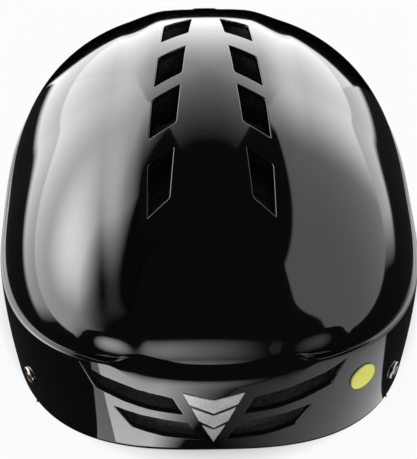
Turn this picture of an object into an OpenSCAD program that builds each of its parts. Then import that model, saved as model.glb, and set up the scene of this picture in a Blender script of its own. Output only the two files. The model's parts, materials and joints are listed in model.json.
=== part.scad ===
// Hard-shell cycling helmet for a head of about 52 to 56 cm, rear at -Y, brow at +Y,
// standing on its rim. The origin is on the ground under the middle of the helmet.

/* [Shell] */
// Width across the belt
belt_w = 212; // [206:1:222]
// Length of the belt from nape to brow
belt_l = 264; // [258:1:276]
// Height of the crown above the rim, without the raised panel
crown_h = 140; // [136:1:150]
// Wall of the moulded outer shell
shell_wall = 2.6; // [2.2:0.2:3.2]
// Squareness of the belt seen from above
belt_square = 2.9; // [2.7:0.05:3]
// Squareness of the crown seen from above
crown_square = 2.3; // [2.1:0.05:2.5]
// Roundness of the dome seen from the side
dome_round = 1.8; // [1.7:0.05:2]
// Narrowing towards the brow, as a share of the width
egg = 0.03; // [0:0.01:0.05]
// How far the belt is drawn in at the rim
tuck = 5.2; // [3:0.2:7]
// Rise of the rim over the ears
ear_rise = 6; // [2:0.5:8]
// Half length of that rise
ear_reach = 55; // [45:1:60]

/* [Belt ledge] */
// Height of the ledge at the sides
side_ledge = 48; // [44:1:52]
// Height of the ledge at brow and nape
end_ledge = 60; // [56:1:62]
// How far the ledge stands out from the side domes
ledge_step = 2.2; // [1.6:0.2:3]
// Height of the rounded ledge edge
ledge_lip = 1.8; // [1.4:0.2:2.4]
// Extra height of the sloped shelf under the panel feet
shelf_h = 13; // [9:1:15]
// Extra depth of that shelf
shelf_d = 3.4; // [2:0.2:4.5]
// Dip of the shelf's upper edge in the middle
smile_low = 3.5; // [0:0.5:5]
// Rise of that edge beside the panel feet
smile_high = 4.5; // [0:0.5:6]
// Depth of the scoops beside the rear panel feet
scoop_d = 3.2; // [1:0.2:4]

/* [Raised panel] */
// Rise of the centre panel above the side domes
panel_rise = 3.4; // [2:0.2:4.4]
// Middle value of the panel's half width
panel_mid = 37.2; // [35:0.1:39]
// How much the half width grows to the rear and shrinks to the front
panel_flare = 6; // [4:0.1:7]
// Width of the soft crease along the panel
crease = 9; // [6:0.5:12]

/* [Vents] */
// Front inner corner of each vent along the length
vent_front = [57, 21, -12.5, -52];
// Length of each vent
vent_len = [20, 23.5, 24.5, 25];
// How far a vent's outer side lies behind its inner side
vent_skew = 7.4; // [4:0.2:8]
// Solid rim between the vents and the panel edge
vent_rim = 12.5; // [11:0.5:14]
// Distance of the vents' inner side from the middle
vent_inner = 13; // [11:0.2:14]
// Widening of the gap between the rows, per unit of length
vent_spread = 0.094; // [0.05:0.002:0.1]
// Front inner corner of the brow intake
intake_front = 100; // [96:1:102]
// Length of the brow intake
intake_len = 17; // [14:1:20]
// Distance of the intake's inner side from the middle
intake_inner = 6; // [5:0.5:7]
// Distance of the intake's outer side from the middle
intake_outer = 20; // [18:1:22]
// Corner radius of all vents
vent_r = 1.6; // [1:0.2:2.4]

/* [Foam and pads] */
// Inside width of the foam
cavity_w = 164; // [158:1:168]
// Inside length of the foam
cavity_l = 206; // [202:1:210]
// Inside height of the foam above the rim plane
cavity_h = 116; // [112:1:118]
// Gap between the shell and the foam bonded into it
bond_gap = 0.15; // [0.1:0.05:0.3]
// Height of the foam's lower edge above the rim
foam_edge = 3.4; // [3:0.2:4]
// Sliding gap between the foam and the slip liner
slip_gap = 1.8; // [1.6:0.1:2.2]
// Wall of the slip liner
slip_wall = 1.2; // [0.8:0.1:1.6]
// Thickness of the comfort pads
pad_t = 6; // [4:0.5:8]
// Gap behind a pad, filled by its hook-and-loop patch
pad_gap = 0.5; // [0.4:0.05:0.7]

/* [Fit system] */
// Radius of the fit dial
dial_r = 16; // [14:0.5:17]
// Thickness of the fit dial
dial_t = 7; // [6:0.5:8]
// Height of the dial axis above the ground
dial_z = 22; // [21:0.5:24]
// Number of teeth on the dial pinion
pinion_teeth = 8; // [8:1:10]
// Tooth module
tooth_m = 1; // [0.9:0.05:1.1]
// Thickness of the fit band
band_t = 1.8; // [1.4:0.1:2.2]
// Height of the fit band
band_h = 14; // [12:0.5:16]
// Width of the dial housing
housing_w = 64; // [60:1:70]
// Height of the dial housing
housing_h = 30; // [28:1:32]
// Running gap of moving parts
run_gap = 0.2; // [0.15:0.05:0.3]

/* [Straps] */
// Width of the webbing
web_w = 15; // [13:0.5:16]
// Thickness of the webbing
web_t = 1.2; // [1:0.1:1.4]
// Radius of the rivet heads
rivet_r = 4.75; // [4.25:0.25:5.25]
// Height of the rivets above the ground
rivet_z = 19; // [17:0.5:22]
// Distance of the strap dividers from the middle
divider_x = 56; // [54:0.5:58]
// Width of the side-release buckle
buckle_w = 26; // [25:0.5:28]
// Thickness of the buckle
buckle_t = 8; // [7.5:0.25:9]

/* [Reflectors] */
// Width of the top chevron
chevron_w = 30; // [26:1:32]
// Diameter of the round reflector
dot_d = 15; // [12:0.5:17]
// Thickness of the reflective film
film_t = 0.4; // [0.3:0.05:0.6]

/* [Hidden] */
// Clearances: round a rivet or pin, round a screw or shaft, round webbing, and of the foam behind a vent
hole_play = 0.3;
snug = 0.05;
web_play = 0.3;
foam_slack = 0.8;

fine = 32;
around = 56;
belt_a = belt_w / 2;
belt_b = belt_l / 2;
cavity_base = 40;
base_drop = 4;
ledge_curve = 1.7;
shelf_reach = 26;
cavity_square = 2.5;
cavity_round = 2.2;
foam_inset = shell_wall + bond_gap;

function clamp01(u) = min(max(u, 0), 1);
function soft(u) = let(v = clamp01(u)) v * v * (3 - 2 * v);
function bump(u) = let(v = clamp01(1 - u * u)) v * v;
function unit(v) = v / norm(v);
function bezier(p, u) = pow(1 - u, 3) * p[0] + 3 * u * pow(1 - u, 2) * p[1]
  + 3 * u * u * (1 - u) * p[2] + pow(u, 3) * p[3];

// Radius of the rounded plan outline at angle t, with half width a and half length b
function plan_r(t, a, b, n) = pow(pow(abs(cos(t)) / (a * (1 - egg * sin(t))), n)
  + pow(abs(sin(t)) / b, n), -1 / n);

// Half width of the raised panel at a place along the length
function panel_half(y) = panel_mid + panel_flare * cos(180 * (y + 85) / 200);
function panel_mask(x, y) = soft((panel_half(y) + crease / 2 - abs(x)) / crease);
function foot_mask(t) = let(r = plan_r(t, belt_a, belt_b, belt_square))
  panel_mask(r * cos(t), r * sin(t));

function rim_z(t) = ear_rise * bump(plan_r(t, belt_a, belt_b, belt_square) * sin(t) / ear_reach);
function ledge_z(t) = side_ledge + (end_ledge - side_ledge) * pow(abs(sin(t)), ledge_curve);
function belt_top(t) = ledge_z(t) - shelf_h * foot_mask(t);

// Point of the belt at angle t and height z, set in by inset
function belt_at(t, z, inset) = let(
  off = -tuck * pow(clamp01(1 - z / belt_top(t)), 1.6) - inset,
  r = plan_r(t, belt_a + off, belt_b + off, belt_square)) [r * cos(t), r * sin(t), z];
function belt_normal(t, z) = unit(cross(belt_at(t + 1, z, 0) - belt_at(t - 1, z, 0),
  belt_at(t, z + 1, 0) - belt_at(t, z - 1, 0)));

// Height where the dome comes out of the ledge, lower in the middle of each panel foot
function start_z(t) = let(r = plan_r(t, belt_a, belt_b, belt_square),
  part = min(pow(r * cos(t) / panel_half(r * sin(t)), 2), 1.2))
  ledge_z(t) + ledge_lip + foot_mask(t) * ((smile_low + smile_high) * part - smile_low);
function dome_base(t) = ledge_z(t) - base_drop;
function start_q(t, inset) = asin(pow((start_z(t) - dome_base(t))
  / (crown_h - inset - dome_base(t)), dome_round / 2));

// Dome above the ledge, k from 0 at the ledge to 1 at the crown
function dome_at(t, k, inset) = let(
  q0 = start_q(t, inset),
  q = q0 + (90 - q0) * k,
  s = pow(cos(q), 2 / dome_round),
  c = pow(sin(q), 2 / dome_round),
  z0 = dome_base(t),
  z = z0 + (crown_h - inset - z0) * c,
  n = belt_square + (crown_square - belt_square) * c,
  r = plan_r(t, belt_a - ledge_step - inset, belt_b - ledge_step - inset, n) * s,
  x = r * cos(t), y = r * sin(t),
  up = unit([x / pow(belt_a, 2), y / pow(belt_b, 2), (z - z0) / pow(crown_h - z0, 2)]),
  over = z - ledge_z(t) - ledge_lip,
  grown = soft(over / shelf_reach),
  lift = panel_mask(x, y) * (panel_rise * grown - shelf_d * (1 - grown)),
  scoop = y < 0 ? scoop_d * bump((abs(x) - 52) / 15) * bump((over - 1) / 13) : 0)
  [x, y, z] + up * (lift - scoop);

// Rounded edge of the ledge, f from 0 below to 1 at the foot of the dome
function ledge_at(t, f, inset) = let(
  low = belt_at(t, belt_top(t), inset),
  high = dome_at(t, 0, inset),
  w = 1 - cos(90 * f))
  [low[0] + (high[0] - low[0]) * w, low[1] + (high[1] - low[1]) * w,
    low[2] + (high[2] - low[2]) * sin(90 * f)];

// Rings of points from the rim to the crown, and the crown point
function skin_rings(inset, z_low, nb, nl, nd) = concat(
  [for (k = [0 : nb]) [for (i = [0 : around - 1]) let(t = 360 * i / around, zr = rim_z(t) + z_low)
    belt_at(t, zr + (belt_top(t) - zr) * k / nb, inset)]],
  [for (k = [1 : nl]) [for (i = [0 : around - 1]) ledge_at(360 * i / around, k / nl, inset)]],
  [for (k = [1 : nd - 1]) [for (i = [0 : around - 1]) dome_at(360 * i / around, k / nd, inset)]]);
function skin_crown(inset) = [0, 0, crown_h - inset + panel_rise];

// Inside surface of the foam, grown outwards by grow
function cavity_scale(q) = pow(cos(q), 2 / cavity_round);
function cavity_at(t, q, grow) = let(
  r = plan_r(t, cavity_w / 2 + grow, cavity_l / 2 + grow, cavity_square) * cavity_scale(q))
  [r * cos(t), r * sin(t), cavity_base + (cavity_h + grow - cavity_base) * pow(sin(q), 2 / cavity_round)];
function cavity_wall(t, z, grow) = let(
  r = plan_r(t, cavity_w / 2 + grow, cavity_l / 2 + grow, cavity_square)) [r * cos(t), r * sin(t), z];
function cavity_rings(grow, z_low, nd, first) = concat(
  first ? [[for (i = [0 : around - 1]) let(t = 360 * i / around) cavity_wall(t, rim_z(t) + z_low, grow + 2)],
    [for (i = [0 : around - 1]) let(t = 360 * i / around) cavity_wall(t, rim_z(t) + z_low + 5, grow)],
    [for (i = [0 : around - 1]) cavity_at(360 * i / around, 0, grow)]] : [],
  [for (k = [1 : nd - 1]) [for (i = [0 : around - 1]) cavity_at(360 * i / around, 90 * k / nd, grow)]]);

// Triangles between neighbouring rings, and the fan at the crown
function band_faces(start, rows, flip) = [for (r = [0 : rows - 2], i = [0 : around - 1], h = [0, 1])
  let(a = start + r * around + i, b = start + r * around + (i + 1) % around,
    f = i % (around / 2) < around / 4
      ? (h == 0 ? [a, a + around, b + around] : [a, b + around, b])
      : (h == 0 ? [a, a + around, b] : [b, a + around, b + around]))
  flip ? [f[2], f[1], f[0]] : f];
function fan_faces(ring, tip, flip) = [for (i = [0 : around - 1])
  let(f = [ring + i, tip, ring + (i + 1) % around]) flip ? [f[2], f[1], f[0]] : f];
function edge_faces(a, b) = [for (i = [0 : around - 1], h = [0, 1])
  let(j = (i + 1) % around) h == 0 ? [a + i, a + j, b + j] : [a + i, b + j, b + i]];

// Closed wall between an outer and an inner set of rings
module wall(outer, outer_tip, inner, inner_tip) {
  n_out = len(outer);
  n_in = len(inner);
  start_in = n_out * around + 1;
  pts = concat([for (r = outer) each r], [outer_tip], [for (r = inner) each r], [inner_tip]);
  polyhedron(pts, concat(
    band_faces(0, n_out, false),
    fan_faces((n_out - 1) * around, n_out * around, false),
    band_faces(start_in, n_in, true),
    fan_faces(start_in + (n_in - 1) * around, start_in + n_in * around, true),
    edge_faces(0, start_in)));
}

// Outline of one diamond vent on the +X side, seen from above
function vent_outer(y) = panel_half(y) - vent_rim;
function vent_inside(y) = vent_inner - vent_spread * y;
function vent_corners(y0, len, skew) = [
  [vent_inside(y0), y0], [vent_outer(y0 - skew), y0 - skew],
  [vent_outer(y0 - len - skew), y0 - len - skew], [vent_inside(y0 - len), y0 - len]];

// Height and slope of the crest along the middle of the helmet
function crest_z(y) = let(z0 = dome_base(90)) z0 + (crown_h + panel_rise - z0)
  * pow(1 - pow(abs(y) / (belt_b - ledge_step), dome_round), 1 / dome_round);
function crest_slope(y) = atan((crest_z(y + 1) - crest_z(y - 1)) / 2);

// Vent cutter: the outline with round corners, square to the surface
module vent_cut(corners, deep, grow) {
  mid = (corners[0] + corners[1] + corners[2] + corners[3]) / 4;
  slope = crest_slope(mid[1]);
  for (side = [-1, 1])
    translate([side * mid[0], mid[1], crest_z(mid[1])])
      rotate([slope, 0, 0])
        hull()
          for (c = corners)
            let(v = [side * (c[0] - mid[0]), (c[1] - mid[1]) / cos(slope)])
            translate([v[0], v[1], -deep] - [sign(v[0]), sign(v[1]), 0] * (vent_r - grow))
              cylinder(r = vent_r, h = deep + 20, $fn = 12);
}
// Corners of the brow intake, its inner side level with the middle
intake_corners = [[intake_inner, intake_front], [intake_outer, intake_front + vent_skew],
  [intake_outer, intake_front + vent_skew - intake_len], [intake_inner, intake_front - intake_len]];
module all_vents(deep, grow) {
  for (k = [0 : len(vent_front) - 1])
    vent_cut(vent_corners(vent_front[k], vent_len[k], vent_skew), deep, grow);
  vent_cut(intake_corners, deep, grow);
}

// Outlines of the two rear slots on the +X side, seen from behind: place across and height
upper_slot = [[20, 40], [41.5, 46.5], [53.5, 50], [63.5, 55], [57, 41.7], [43.6, 36],
  [28.6, 31.5], [15.2, 29]];
lower_slot = [[12.5, 21.7], [31.5, 26.2], [48, 30], [40, 17.5], [24.4, 12], [6.9, 9.2]];
brow_slot = [[14, 38], [34, 42], [50, 47], [44, 38], [28, 33], [10, 30]];
module slot_cut(outline, deep, dir, grow) {
  for (side = [-1, 1])
    intersection() {
      rotate([90, 0, 0])
        translate([0, 0, dir > 0 ? belt_b * 0.6 : -belt_b * 1.1])
          linear_extrude(belt_b * 0.5)
            offset(r = grow + 0.8, $fn = 12)
              offset(delta = -0.8)
                polygon([for (p = outline) [side * p[0], p[1]]]);
      belt_skin_band(deep);
    }
}
// Ring-shaped zone from deep inside the belt's surface to outside of it
module belt_skin_band(deep) {
  difference() {
    translate([0, 0, -5])
      cube([belt_w * 1.3, belt_l * 1.3, crown_h], center = true);
    linear_extrude(crown_h, center = true)
      polygon([for (i = [0 : around - 1]) let(t = 360 * i / around,
        r = plan_r(t, belt_a - deep, belt_b - deep, belt_square)) [r * cos(t), r * sin(t)]]);
  }
}

// Places something on the belt with its +Z outwards, y axis up the belt
module on_belt(t, z) {
  n = belt_normal(t, z);
  translate(belt_at(t, z, 0))
    rotate([0, acos(n[2]), atan2(n[1], n[0])])
      rotate(90)
        children();
}
rear_rivet_t = 225;
front_rivet_t = 148;
rivet_angles = [rear_rivet_t, 540 - rear_rivet_t, front_rivet_t, 180 - front_rivet_t];
shank_r = 2.3;
rivet_seat = 0.15;

module outer_shell() {
  color("black")
    difference() {
      wall(skin_rings(0, 0, 5, 3, 14), skin_crown(0),
        skin_rings(shell_wall, 0, 3, 2, 10), skin_crown(shell_wall));
      all_vents(45, 0);
      slot_cut(upper_slot, 12, 1, 0);
      slot_cut(lower_slot, 12, 1, 0);
      slot_cut(brow_slot, 12, -1, 0);
      for (t = rivet_angles)
        on_belt(t, rivet_z)
          cylinder(r = shank_r + hole_play, h = 20, center = true, $fn = fine);
    }
}

// Fit system at the nape. Along Y: dial, housing, racks, cover, pad
rack_y = -cavity_l / 2 + 6.3;
layer = band_t + 2 * run_gap;
housing_y = rack_y - layer / 2;
cover_y = rack_y + layer / 2;
housing_t = 4;
cover_t = 2;
dial_gap = 0.4;
dial_y = housing_y - housing_t - dial_gap;
recess_w = 96;
recess_top = 46;
recess_gap = 5.8;
recess_y = dial_t - dial_y + recess_gap;
pocket_w = web_w + 3;
pocket_deep = 12.5;
module foam_liner() {
  color("dimgray")
    difference() {
      wall(skin_rings(foam_inset, foam_edge, 3, 2, 10), skin_crown(foam_inset),
        cavity_rings(0, foam_edge, 9, true), [0, 0, cavity_h]);
      all_vents(60, foam_slack);
      slot_cut(upper_slot, 10, 1, foam_slack);
      slot_cut(lower_slot, 10, 1, foam_slack);
      slot_cut(brow_slot, 14, -1, foam_slack);
      // Rear recess for the dial housing, open below
      hull()
        for (sx = [-1, 1], z = [-10, recess_top - 8])
          translate([sx * (recess_w / 2 - 8), -cavity_l / 2 + 20, z])
            rotate([90, 0, 0])
              cylinder(r = 8, h = recess_y - cavity_l / 2 + 20, $fn = 24);
      // Pockets for the strap ends, open below
      for (t = rivet_angles)
        on_belt(t, rivet_z)
          translate([-pocket_w / 2, -40, -pocket_deep])
            cube([pocket_w, 52, pocket_deep]);
      // Holes for the crown plug, the tethers and the band pins
      translate([0, 0, cavity_h])
        cylinder(r = plug_r + hole_play, h = 24, center = true, $fn = fine);
      for (t = tether_angles)
        at_tether(t)
          cylinder(r = tether_r + hole_play, h = 24, center = true, $fn = fine);
      for (k = [0 : 3])
        at_pin(k)
          cylinder(r = pin_r + hole_play, h = 26, center = true, $fn = fine);
    }
}

// Slip liner: a thin bowl that turns a little about the crown plug
plug_r = 3;
tether_r = 2;
tether_q = 32;
tether_angles = [38, 142, 218, 322];
slip_low = 22;
// The liner's holes are drawn towards the crown, as the vents run square to the skin
liner_pull = 0.93;
module at_tether(t) {
  p = cavity_at(t, tether_q, 0);
  n = unit([p[0] / pow(cavity_w / 2, 2), p[1] / pow(cavity_l / 2, 2),
    (p[2] - cavity_base) / pow(cavity_h - cavity_base, 2)]);
  translate(p)
    rotate([0, acos(n[2]), atan2(n[1], n[0])])
      children();
}
module slip_liner() {
  color("#303236")
    difference() {
      wall([for (k = [0 : 6]) [for (i = [0 : around - 1])
          cavity_at(360 * i / around, slip_low + (90 - slip_low) * k / 7, -slip_gap)]],
        [0, 0, cavity_h - slip_gap],
        [for (k = [0 : 6]) [for (i = [0 : around - 1])
          cavity_at(360 * i / around, slip_low + (90 - slip_low) * k / 7, -slip_gap - slip_wall)]],
        [0, 0, cavity_h - slip_gap - slip_wall]);
      for (k = [0 : len(vent_front) - 1], side = [-1, 1])
        translate([0, 0, cavity_h * 0.6])
          linear_extrude(cavity_h)
            polygon([for (c = vent_corners(vent_front[k], vent_len[k], vent_skew))
              [side * c[0], c[1]] * liner_pull]);
      translate([0, 0, cavity_h])
        cylinder(r = plug_r + run_gap / 2, h = 20, center = true, $fn = 48);
      for (t = tether_angles)
        at_tether(t)
          cylinder(r = tether_r + 5, h = 20, center = true, $fn = 48);
    }
}
module crown_plug() {
  color("darkgray")
    translate([0, 0, cavity_h - slip_gap - slip_wall - 1.6]) {
      cylinder(r = plug_r, h = 12, $fn = 48);
      cylinder(r = plug_r * 2, h = 1.2, $fn = 48);
    }
}
module slip_tethers() {
  color("darkgray")
    for (t = tether_angles)
      at_tether(t)
        translate([0, 0, -slip_gap - slip_wall - 2.8]) {
          cylinder(r = tether_r, h = 14.5, $fn = fine);
          cylinder(r = tether_r + 6, h = 1, $fn = fine);
        }
}

// A pad that follows the inside: back patch, front patch with a crown, closed round the edge
module crowned(back, front) {
  rows = len(back);
  cols = len(back[0]);
  n = rows * cols;
  pts = concat([for (r = back) each r], [for (r = front) each r]);
  quads = concat(
    [for (i = [0 : rows - 2], j = [0 : cols - 2])
      [i * cols + j, i * cols + j + 1, (i + 1) * cols + j + 1, (i + 1) * cols + j]],
    [for (i = [0 : rows - 2], j = [0 : cols - 2])
      [n + (i + 1) * cols + j, n + (i + 1) * cols + j + 1, n + i * cols + j + 1, n + i * cols + j]],
    [for (i = [0 : rows - 2]) [i * cols, (i + 1) * cols, n + (i + 1) * cols, n + i * cols]],
    [for (i = [0 : rows - 2]) [n + i * cols + cols - 1, n + (i + 1) * cols + cols - 1,
      (i + 1) * cols + cols - 1, i * cols + cols - 1]],
    [for (j = [0 : cols - 2]) [n + j, n + j + 1, j + 1, j]],
    [for (j = [0 : cols - 2]) [(rows - 1) * cols + j, (rows - 1) * cols + j + 1,
      n + (rows - 1) * cols + j + 1, n + (rows - 1) * cols + j]]);
  polyhedron(pts, [for (q = quads, h = [0, 1]) h == 0 ? [q[0], q[1], q[2]] : [q[0], q[2], q[3]]]);
}
function pad_swell(u, v) = 0.3 + 0.7 * sqrt(sqrt(clamp01((1 - pow(abs(2 * u - 1), 4))
  * (1 - pow(abs(2 * v - 1), 4)))));
// Pad on the upright wall of the foam between two angles and two heights
module wall_pad(t0, t1, z0, z1, rows, cols) {
  function place(i, j, deep) = let(u = i / (cols - 1), v = j / (rows - 1),
    round_in = 0.5 - 0.5 * sqrt(sqrt(clamp01(1 - pow(abs(2 * u - 1), 4)))),
    z = z0 + (z1 - z0) * (round_in + (1 - 2 * round_in) * v)) cavity_wall(t0 + (t1 - t0) * u, z, -deep);
  crowned([for (j = [0 : rows - 1]) [for (i = [0 : cols - 1]) place(i, j, pad_gap)]],
    [for (j = [0 : rows - 1]) [for (i = [0 : cols - 1])
      place(i, j, pad_gap + pad_t * pad_swell(i / (cols - 1), j / (rows - 1)))]]);
}
module brow_pad() {
  color("darkslategray")
    wall_pad(50, 130, 22, 40, 6, 18);
}
module side_pad(mid) {
  color("darkslategray")
    wall_pad(mid - 22, mid + 22, 31, 43, 6, 10);
}
module side_pad_left() {
  side_pad(180);
}
module side_pad_right() {
  side_pad(0);
}
// Height of the bowl over a place in plan
function bowl_z(x, y, grow) = let(
  t = atan2(y, x),
  s = clamp01(norm([x, y]) / plan_r(t, cavity_w / 2 + grow, cavity_l / 2 + grow, cavity_square)))
  cavity_base + (cavity_h + grow - cavity_base) * pow(1 - pow(s, cavity_round), 1 / cavity_round);
crown_pad_w = 20;
crown_pad_x = 44;
module crown_pad(side) {
  rows = 12;
  cols = 7;
  gap = slip_gap + slip_wall + pad_gap;
  function place(i, j, deep) = let(u = i / (cols - 1), v = j / (rows - 1),
    round_in = 0.5 * sqrt(sqrt(clamp01(1 - pow(abs(2 * v - 1), 4)))),
    x = side * crown_pad_x + crown_pad_w * (2 * u - 1) * (0.25 + round_in) * -side,
    y = -48 + 96 * v) [x, y, bowl_z(x, y, -deep)];
  color("darkslategray")
    crowned([for (j = [0 : rows - 1]) [for (i = [0 : cols - 1]) place(i, j, gap)]],
      [for (j = [0 : rows - 1]) [for (i = [0 : cols - 1])
        place(i, j, gap + pad_t * pad_swell(i / (cols - 1), j / (rows - 1)))]]);
}
module crown_pad_left() {
  crown_pad(-1);
}
module crown_pad_right() {
  mirror([1, 0, 0])
    crown_pad(-1);
}

pitch_r = pinion_teeth * tooth_m / 2;
rack_bar = 3.2;
rack_reach = 17;
band_low = dial_z - band_h / 2;
band_a = cavity_w / 2 - 3;
band_square = 2.5;
band_end_t = 18;

module rounded_plate(w, h, t, r) {
  rotate([90, 0, 0])
    linear_extrude(t) {
      square([w - 2 * r, h], center = true);
      square([w, h - 2 * r], center = true);
      for (sx = [-1, 1], sz = [-1, 1])
        translate([sx * (w / 2 - r), sz * (h / 2 - r)])
          circle(r = r, $fn = fine);
    }
}
module dial_housing() {
  color("#202224")
    translate([0, housing_y, dial_z])
      difference() {
        union() {
          rounded_plate(housing_w, housing_h, housing_t, 9);
          // Side rails that space the two halves of the housing
          for (s = [-1, 1])
            translate([-housing_w / 2 + 9, 0, s * (housing_h / 2 - 1.2) - 1.2])
              cube([housing_w - 18, layer, 2.4]);
        }
        rotate([90, 0, 0])
          cylinder(r = shaft_r + snug, h = 30, center = true, $fn = 48);
      }
}
module dial_housing_cover() {
  color("#202224")
    translate([0, cover_y + cover_t, dial_z])
      difference() {
        rounded_plate(housing_w, housing_h, cover_t, 9);
        rotate([90, 0, 0])
          cylinder(r = screw_head_r + hole_play, h = 30, center = true, $fn = 48);
      }
}
shaft_r = 3;
screw_r = 1.25;
screw_head_r = 2.6;
module fit_dial() {
  color("#2b2d30")
    translate([0, dial_y, dial_z])
      rotate([90, 0, 0])
        difference() {
          union() {
            cylinder(r = dial_r - 0.8, h = dial_t, $fn = 64);
            translate([0, 0, 0.8])
              cylinder(r = dial_r, h = dial_t - 1.6, $fn = 64);
            translate([0, 0, -(housing_t + dial_gap - 0.1)])
              cylinder(r = shaft_r, h = housing_t + dial_gap, $fn = 48);
          }
          // Grip flutes round the edge
          for (i = [0 : 17])
            rotate(20 * i)
              translate([dial_r + 0.9, 0, -1])
                cylinder(r = 1.9, h = dial_t + 2, $fn = 24);
          // Dished face
          translate([0, 0, dial_t - 1.2])
            cylinder(r = dial_r - 5, h = 2, $fn = 64);
          translate([0, 0, -10])
            cylinder(r = screw_r, h = 14, $fn = fine);
        }
}
function tooth_outline(k) = let(step = 360 / pinion_teeth, a = k * step,
  root = pitch_r - 1.1 * tooth_m, tip = pitch_r + 0.85 * tooth_m)
  [for (p = [[root, -0.36], [pitch_r - 0.1, -0.22], [tip, -0.1], [tip, 0.1], [pitch_r - 0.1, 0.22], [root, 0.36]])
    p[0] * [cos(a + p[1] * step), sin(a + p[1] * step)]];
module dial_pinion() {
  color("white")
    translate([0, rack_y + band_t / 2, dial_z])
      rotate([90, 0, 0])
        difference() {
          linear_extrude(band_t)
            polygon([for (k = [0 : pinion_teeth - 1]) each tooth_outline(k + 0.5)]);
          translate([0, 0, -1])
            cylinder(r = screw_r + 0.02, h = 10, $fn = fine);
        }
}
module dial_screw() {
  color("silver")
    translate([0, rack_y + band_t / 2 + 0.02, dial_z])
      rotate([90, 0, 0]) {
        translate([0, 0, -1.4])
          difference() {
            cylinder(r = screw_head_r, h = 1.4, $fn = fine);
            for (a = [0, 90])
              rotate(a)
                translate([-1.4, -0.3, -0.1])
                  cube([2.8, 0.6, 0.8]);
          }
        cylinder(r = screw_r - 0.03, h = 7.6, $fn = fine);
      }
}
// Rack bar on the +X side of the pinion, teeth facing the pinion
module rack() {
  pitch = PI * tooth_m;
  bar_low = pitch_r + 1.1 * tooth_m;
  tooth_top = bar_low - pitch_r + 0.85 * tooth_m;
  rotate([90, 0, 0])
    translate([0, 0, -band_t / 2])
      linear_extrude(band_t) {
        translate([-rack_reach, bar_low])
          square([housing_w / 2 + rack_reach + 2, rack_bar]);
        for (k = [-5 : 8])
          let(x = k * pitch)
          if (x > -rack_reach + 1 && x < housing_w / 2 - 4)
            polygon([[x - 1.15, bar_low + 0.1], [x - 0.72, pitch_r], [x - 0.3, bar_low - tooth_top],
              [x + 0.3, bar_low - tooth_top], [x + 0.72, pitch_r], [x + 1.15, bar_low + 0.1]]);
      }
}
// Flexible band from the housing round to the temple on the +X side
function band_path(grow) = [for (k = [0 : 22]) let(
  t = -68 + (band_end_t + 68) * k / 22,
  r = plan_r(t, band_a + grow, -rack_y + grow, band_square)) [r * cos(t), r * sin(t)]];
module fit_band() {
  color("#202224")
    difference() {
      union() {
        translate([0, rack_y, dial_z])
          rack();
        translate([0, 0, band_low])
          linear_extrude(band_h)
            polygon(concat([for (x = [-2, 1.5]) [housing_w / 2 + x, rack_y - band_t / 2]], band_path(band_t / 2),
              [for (k = [22 : -1 : 0]) band_path(-band_t / 2)[k]],
              [for (x = [1.5, -2]) [housing_w / 2 + x, rack_y + band_t / 2]]));
      }
      at_pin(0)
        cylinder(r = pin_r + snug, h = 20, center = true, $fn = 48);
    }
}
module fit_band_right() {
  fit_band();
}
module fit_band_left() {
  translate([0, 0, 2 * dial_z])
    rotate([0, 180, 0])
      fit_band();
}

// Pins that hold the bands at the temples and the yoke at the nape in the foam
pin_r = 2.2;
yoke_t = 1.6;
yoke_y = cover_y;
yoke_pin_x = 22;
yoke_low = dial_z + housing_h / 2 + 0.05;
yoke_pin_z = 53;
module at_pin(k) {
  side = k % 2 == 0 ? 1 : -1;
  t = band_end_t - 4;
  c = cavity_wall(t, dial_z, 0);
  if (k < 2)
    translate([side * c[0], c[1], c[2]])
      rotate([0, side * 90, 0])
        rotate([-t, 0, 0])
          children();
  else
    translate([side * yoke_pin_x, yoke_y - yoke_t, yoke_pin_z])
      rotate([90, 0, 0])
        children();
}
module cradle_pins() {
  color("#202224")
    for (k = [0 : 3])
      at_pin(k) {
        translate([0, 0, k < 2 ? -5.8 : -yoke_t - 0.5])
          cylinder(r = pin_r, h = 12, $fn = fine);
        translate([0, 0, k < 2 ? -6.4 : -yoke_t - 1.4])
          cylinder(r = 4.5, h = 1.2, $fn = fine);
      }
}
module cradle_yoke() {
  color("#202224")
    translate([0, yoke_y, 0])
      rotate([90, 0, 0])
        difference() {
          linear_extrude(yoke_t)
            polygon([[-12, yoke_low], [12, yoke_low], [15, 43], [28, 47], [28, 57], [20, 60], [8, 52], [-8, 52],
              [-20, 60], [-28, 57], [-28, 47], [-15, 43]]);
          for (sx = [-1, 1])
            translate([sx * yoke_pin_x, yoke_pin_z, -1])
              cylinder(r = pin_r + snug, h = yoke_t + 2, $fn = 48);
        }
}
module nape_pad() {
  color("darkslategray")
    translate([0, cover_y + cover_t + pad_gap, dial_z])
      rotate([-90, 0, 0])
        hull() {
          for (sx = [-1, 1], sy = [-1, 1])
            translate([sx * 22, sy * 8, 0])
              cylinder(r = 6, h = 3, $fn = 24);
          for (sx = [-1, 1], sy = [-1, 1])
            translate([sx * 21, sy * 7, 0])
              cylinder(r = 4.5, h = 5, $fn = 24);
        }
}
module front_band() {
  color("#202224")
    translate([0, 0, 8])
      linear_extrude(9)
        polygon(concat(
          [for (k = [0 : 30]) let(t = 32 + 116 * k / 30, p = cavity_wall(t, 0, -0.4)) [p[0], p[1]]],
          [for (k = [30 : -1 : 0]) let(t = 32 + 116 * k / 30, p = cavity_wall(t, 0, -2)) [p[0], p[1]]]));
}

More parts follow.
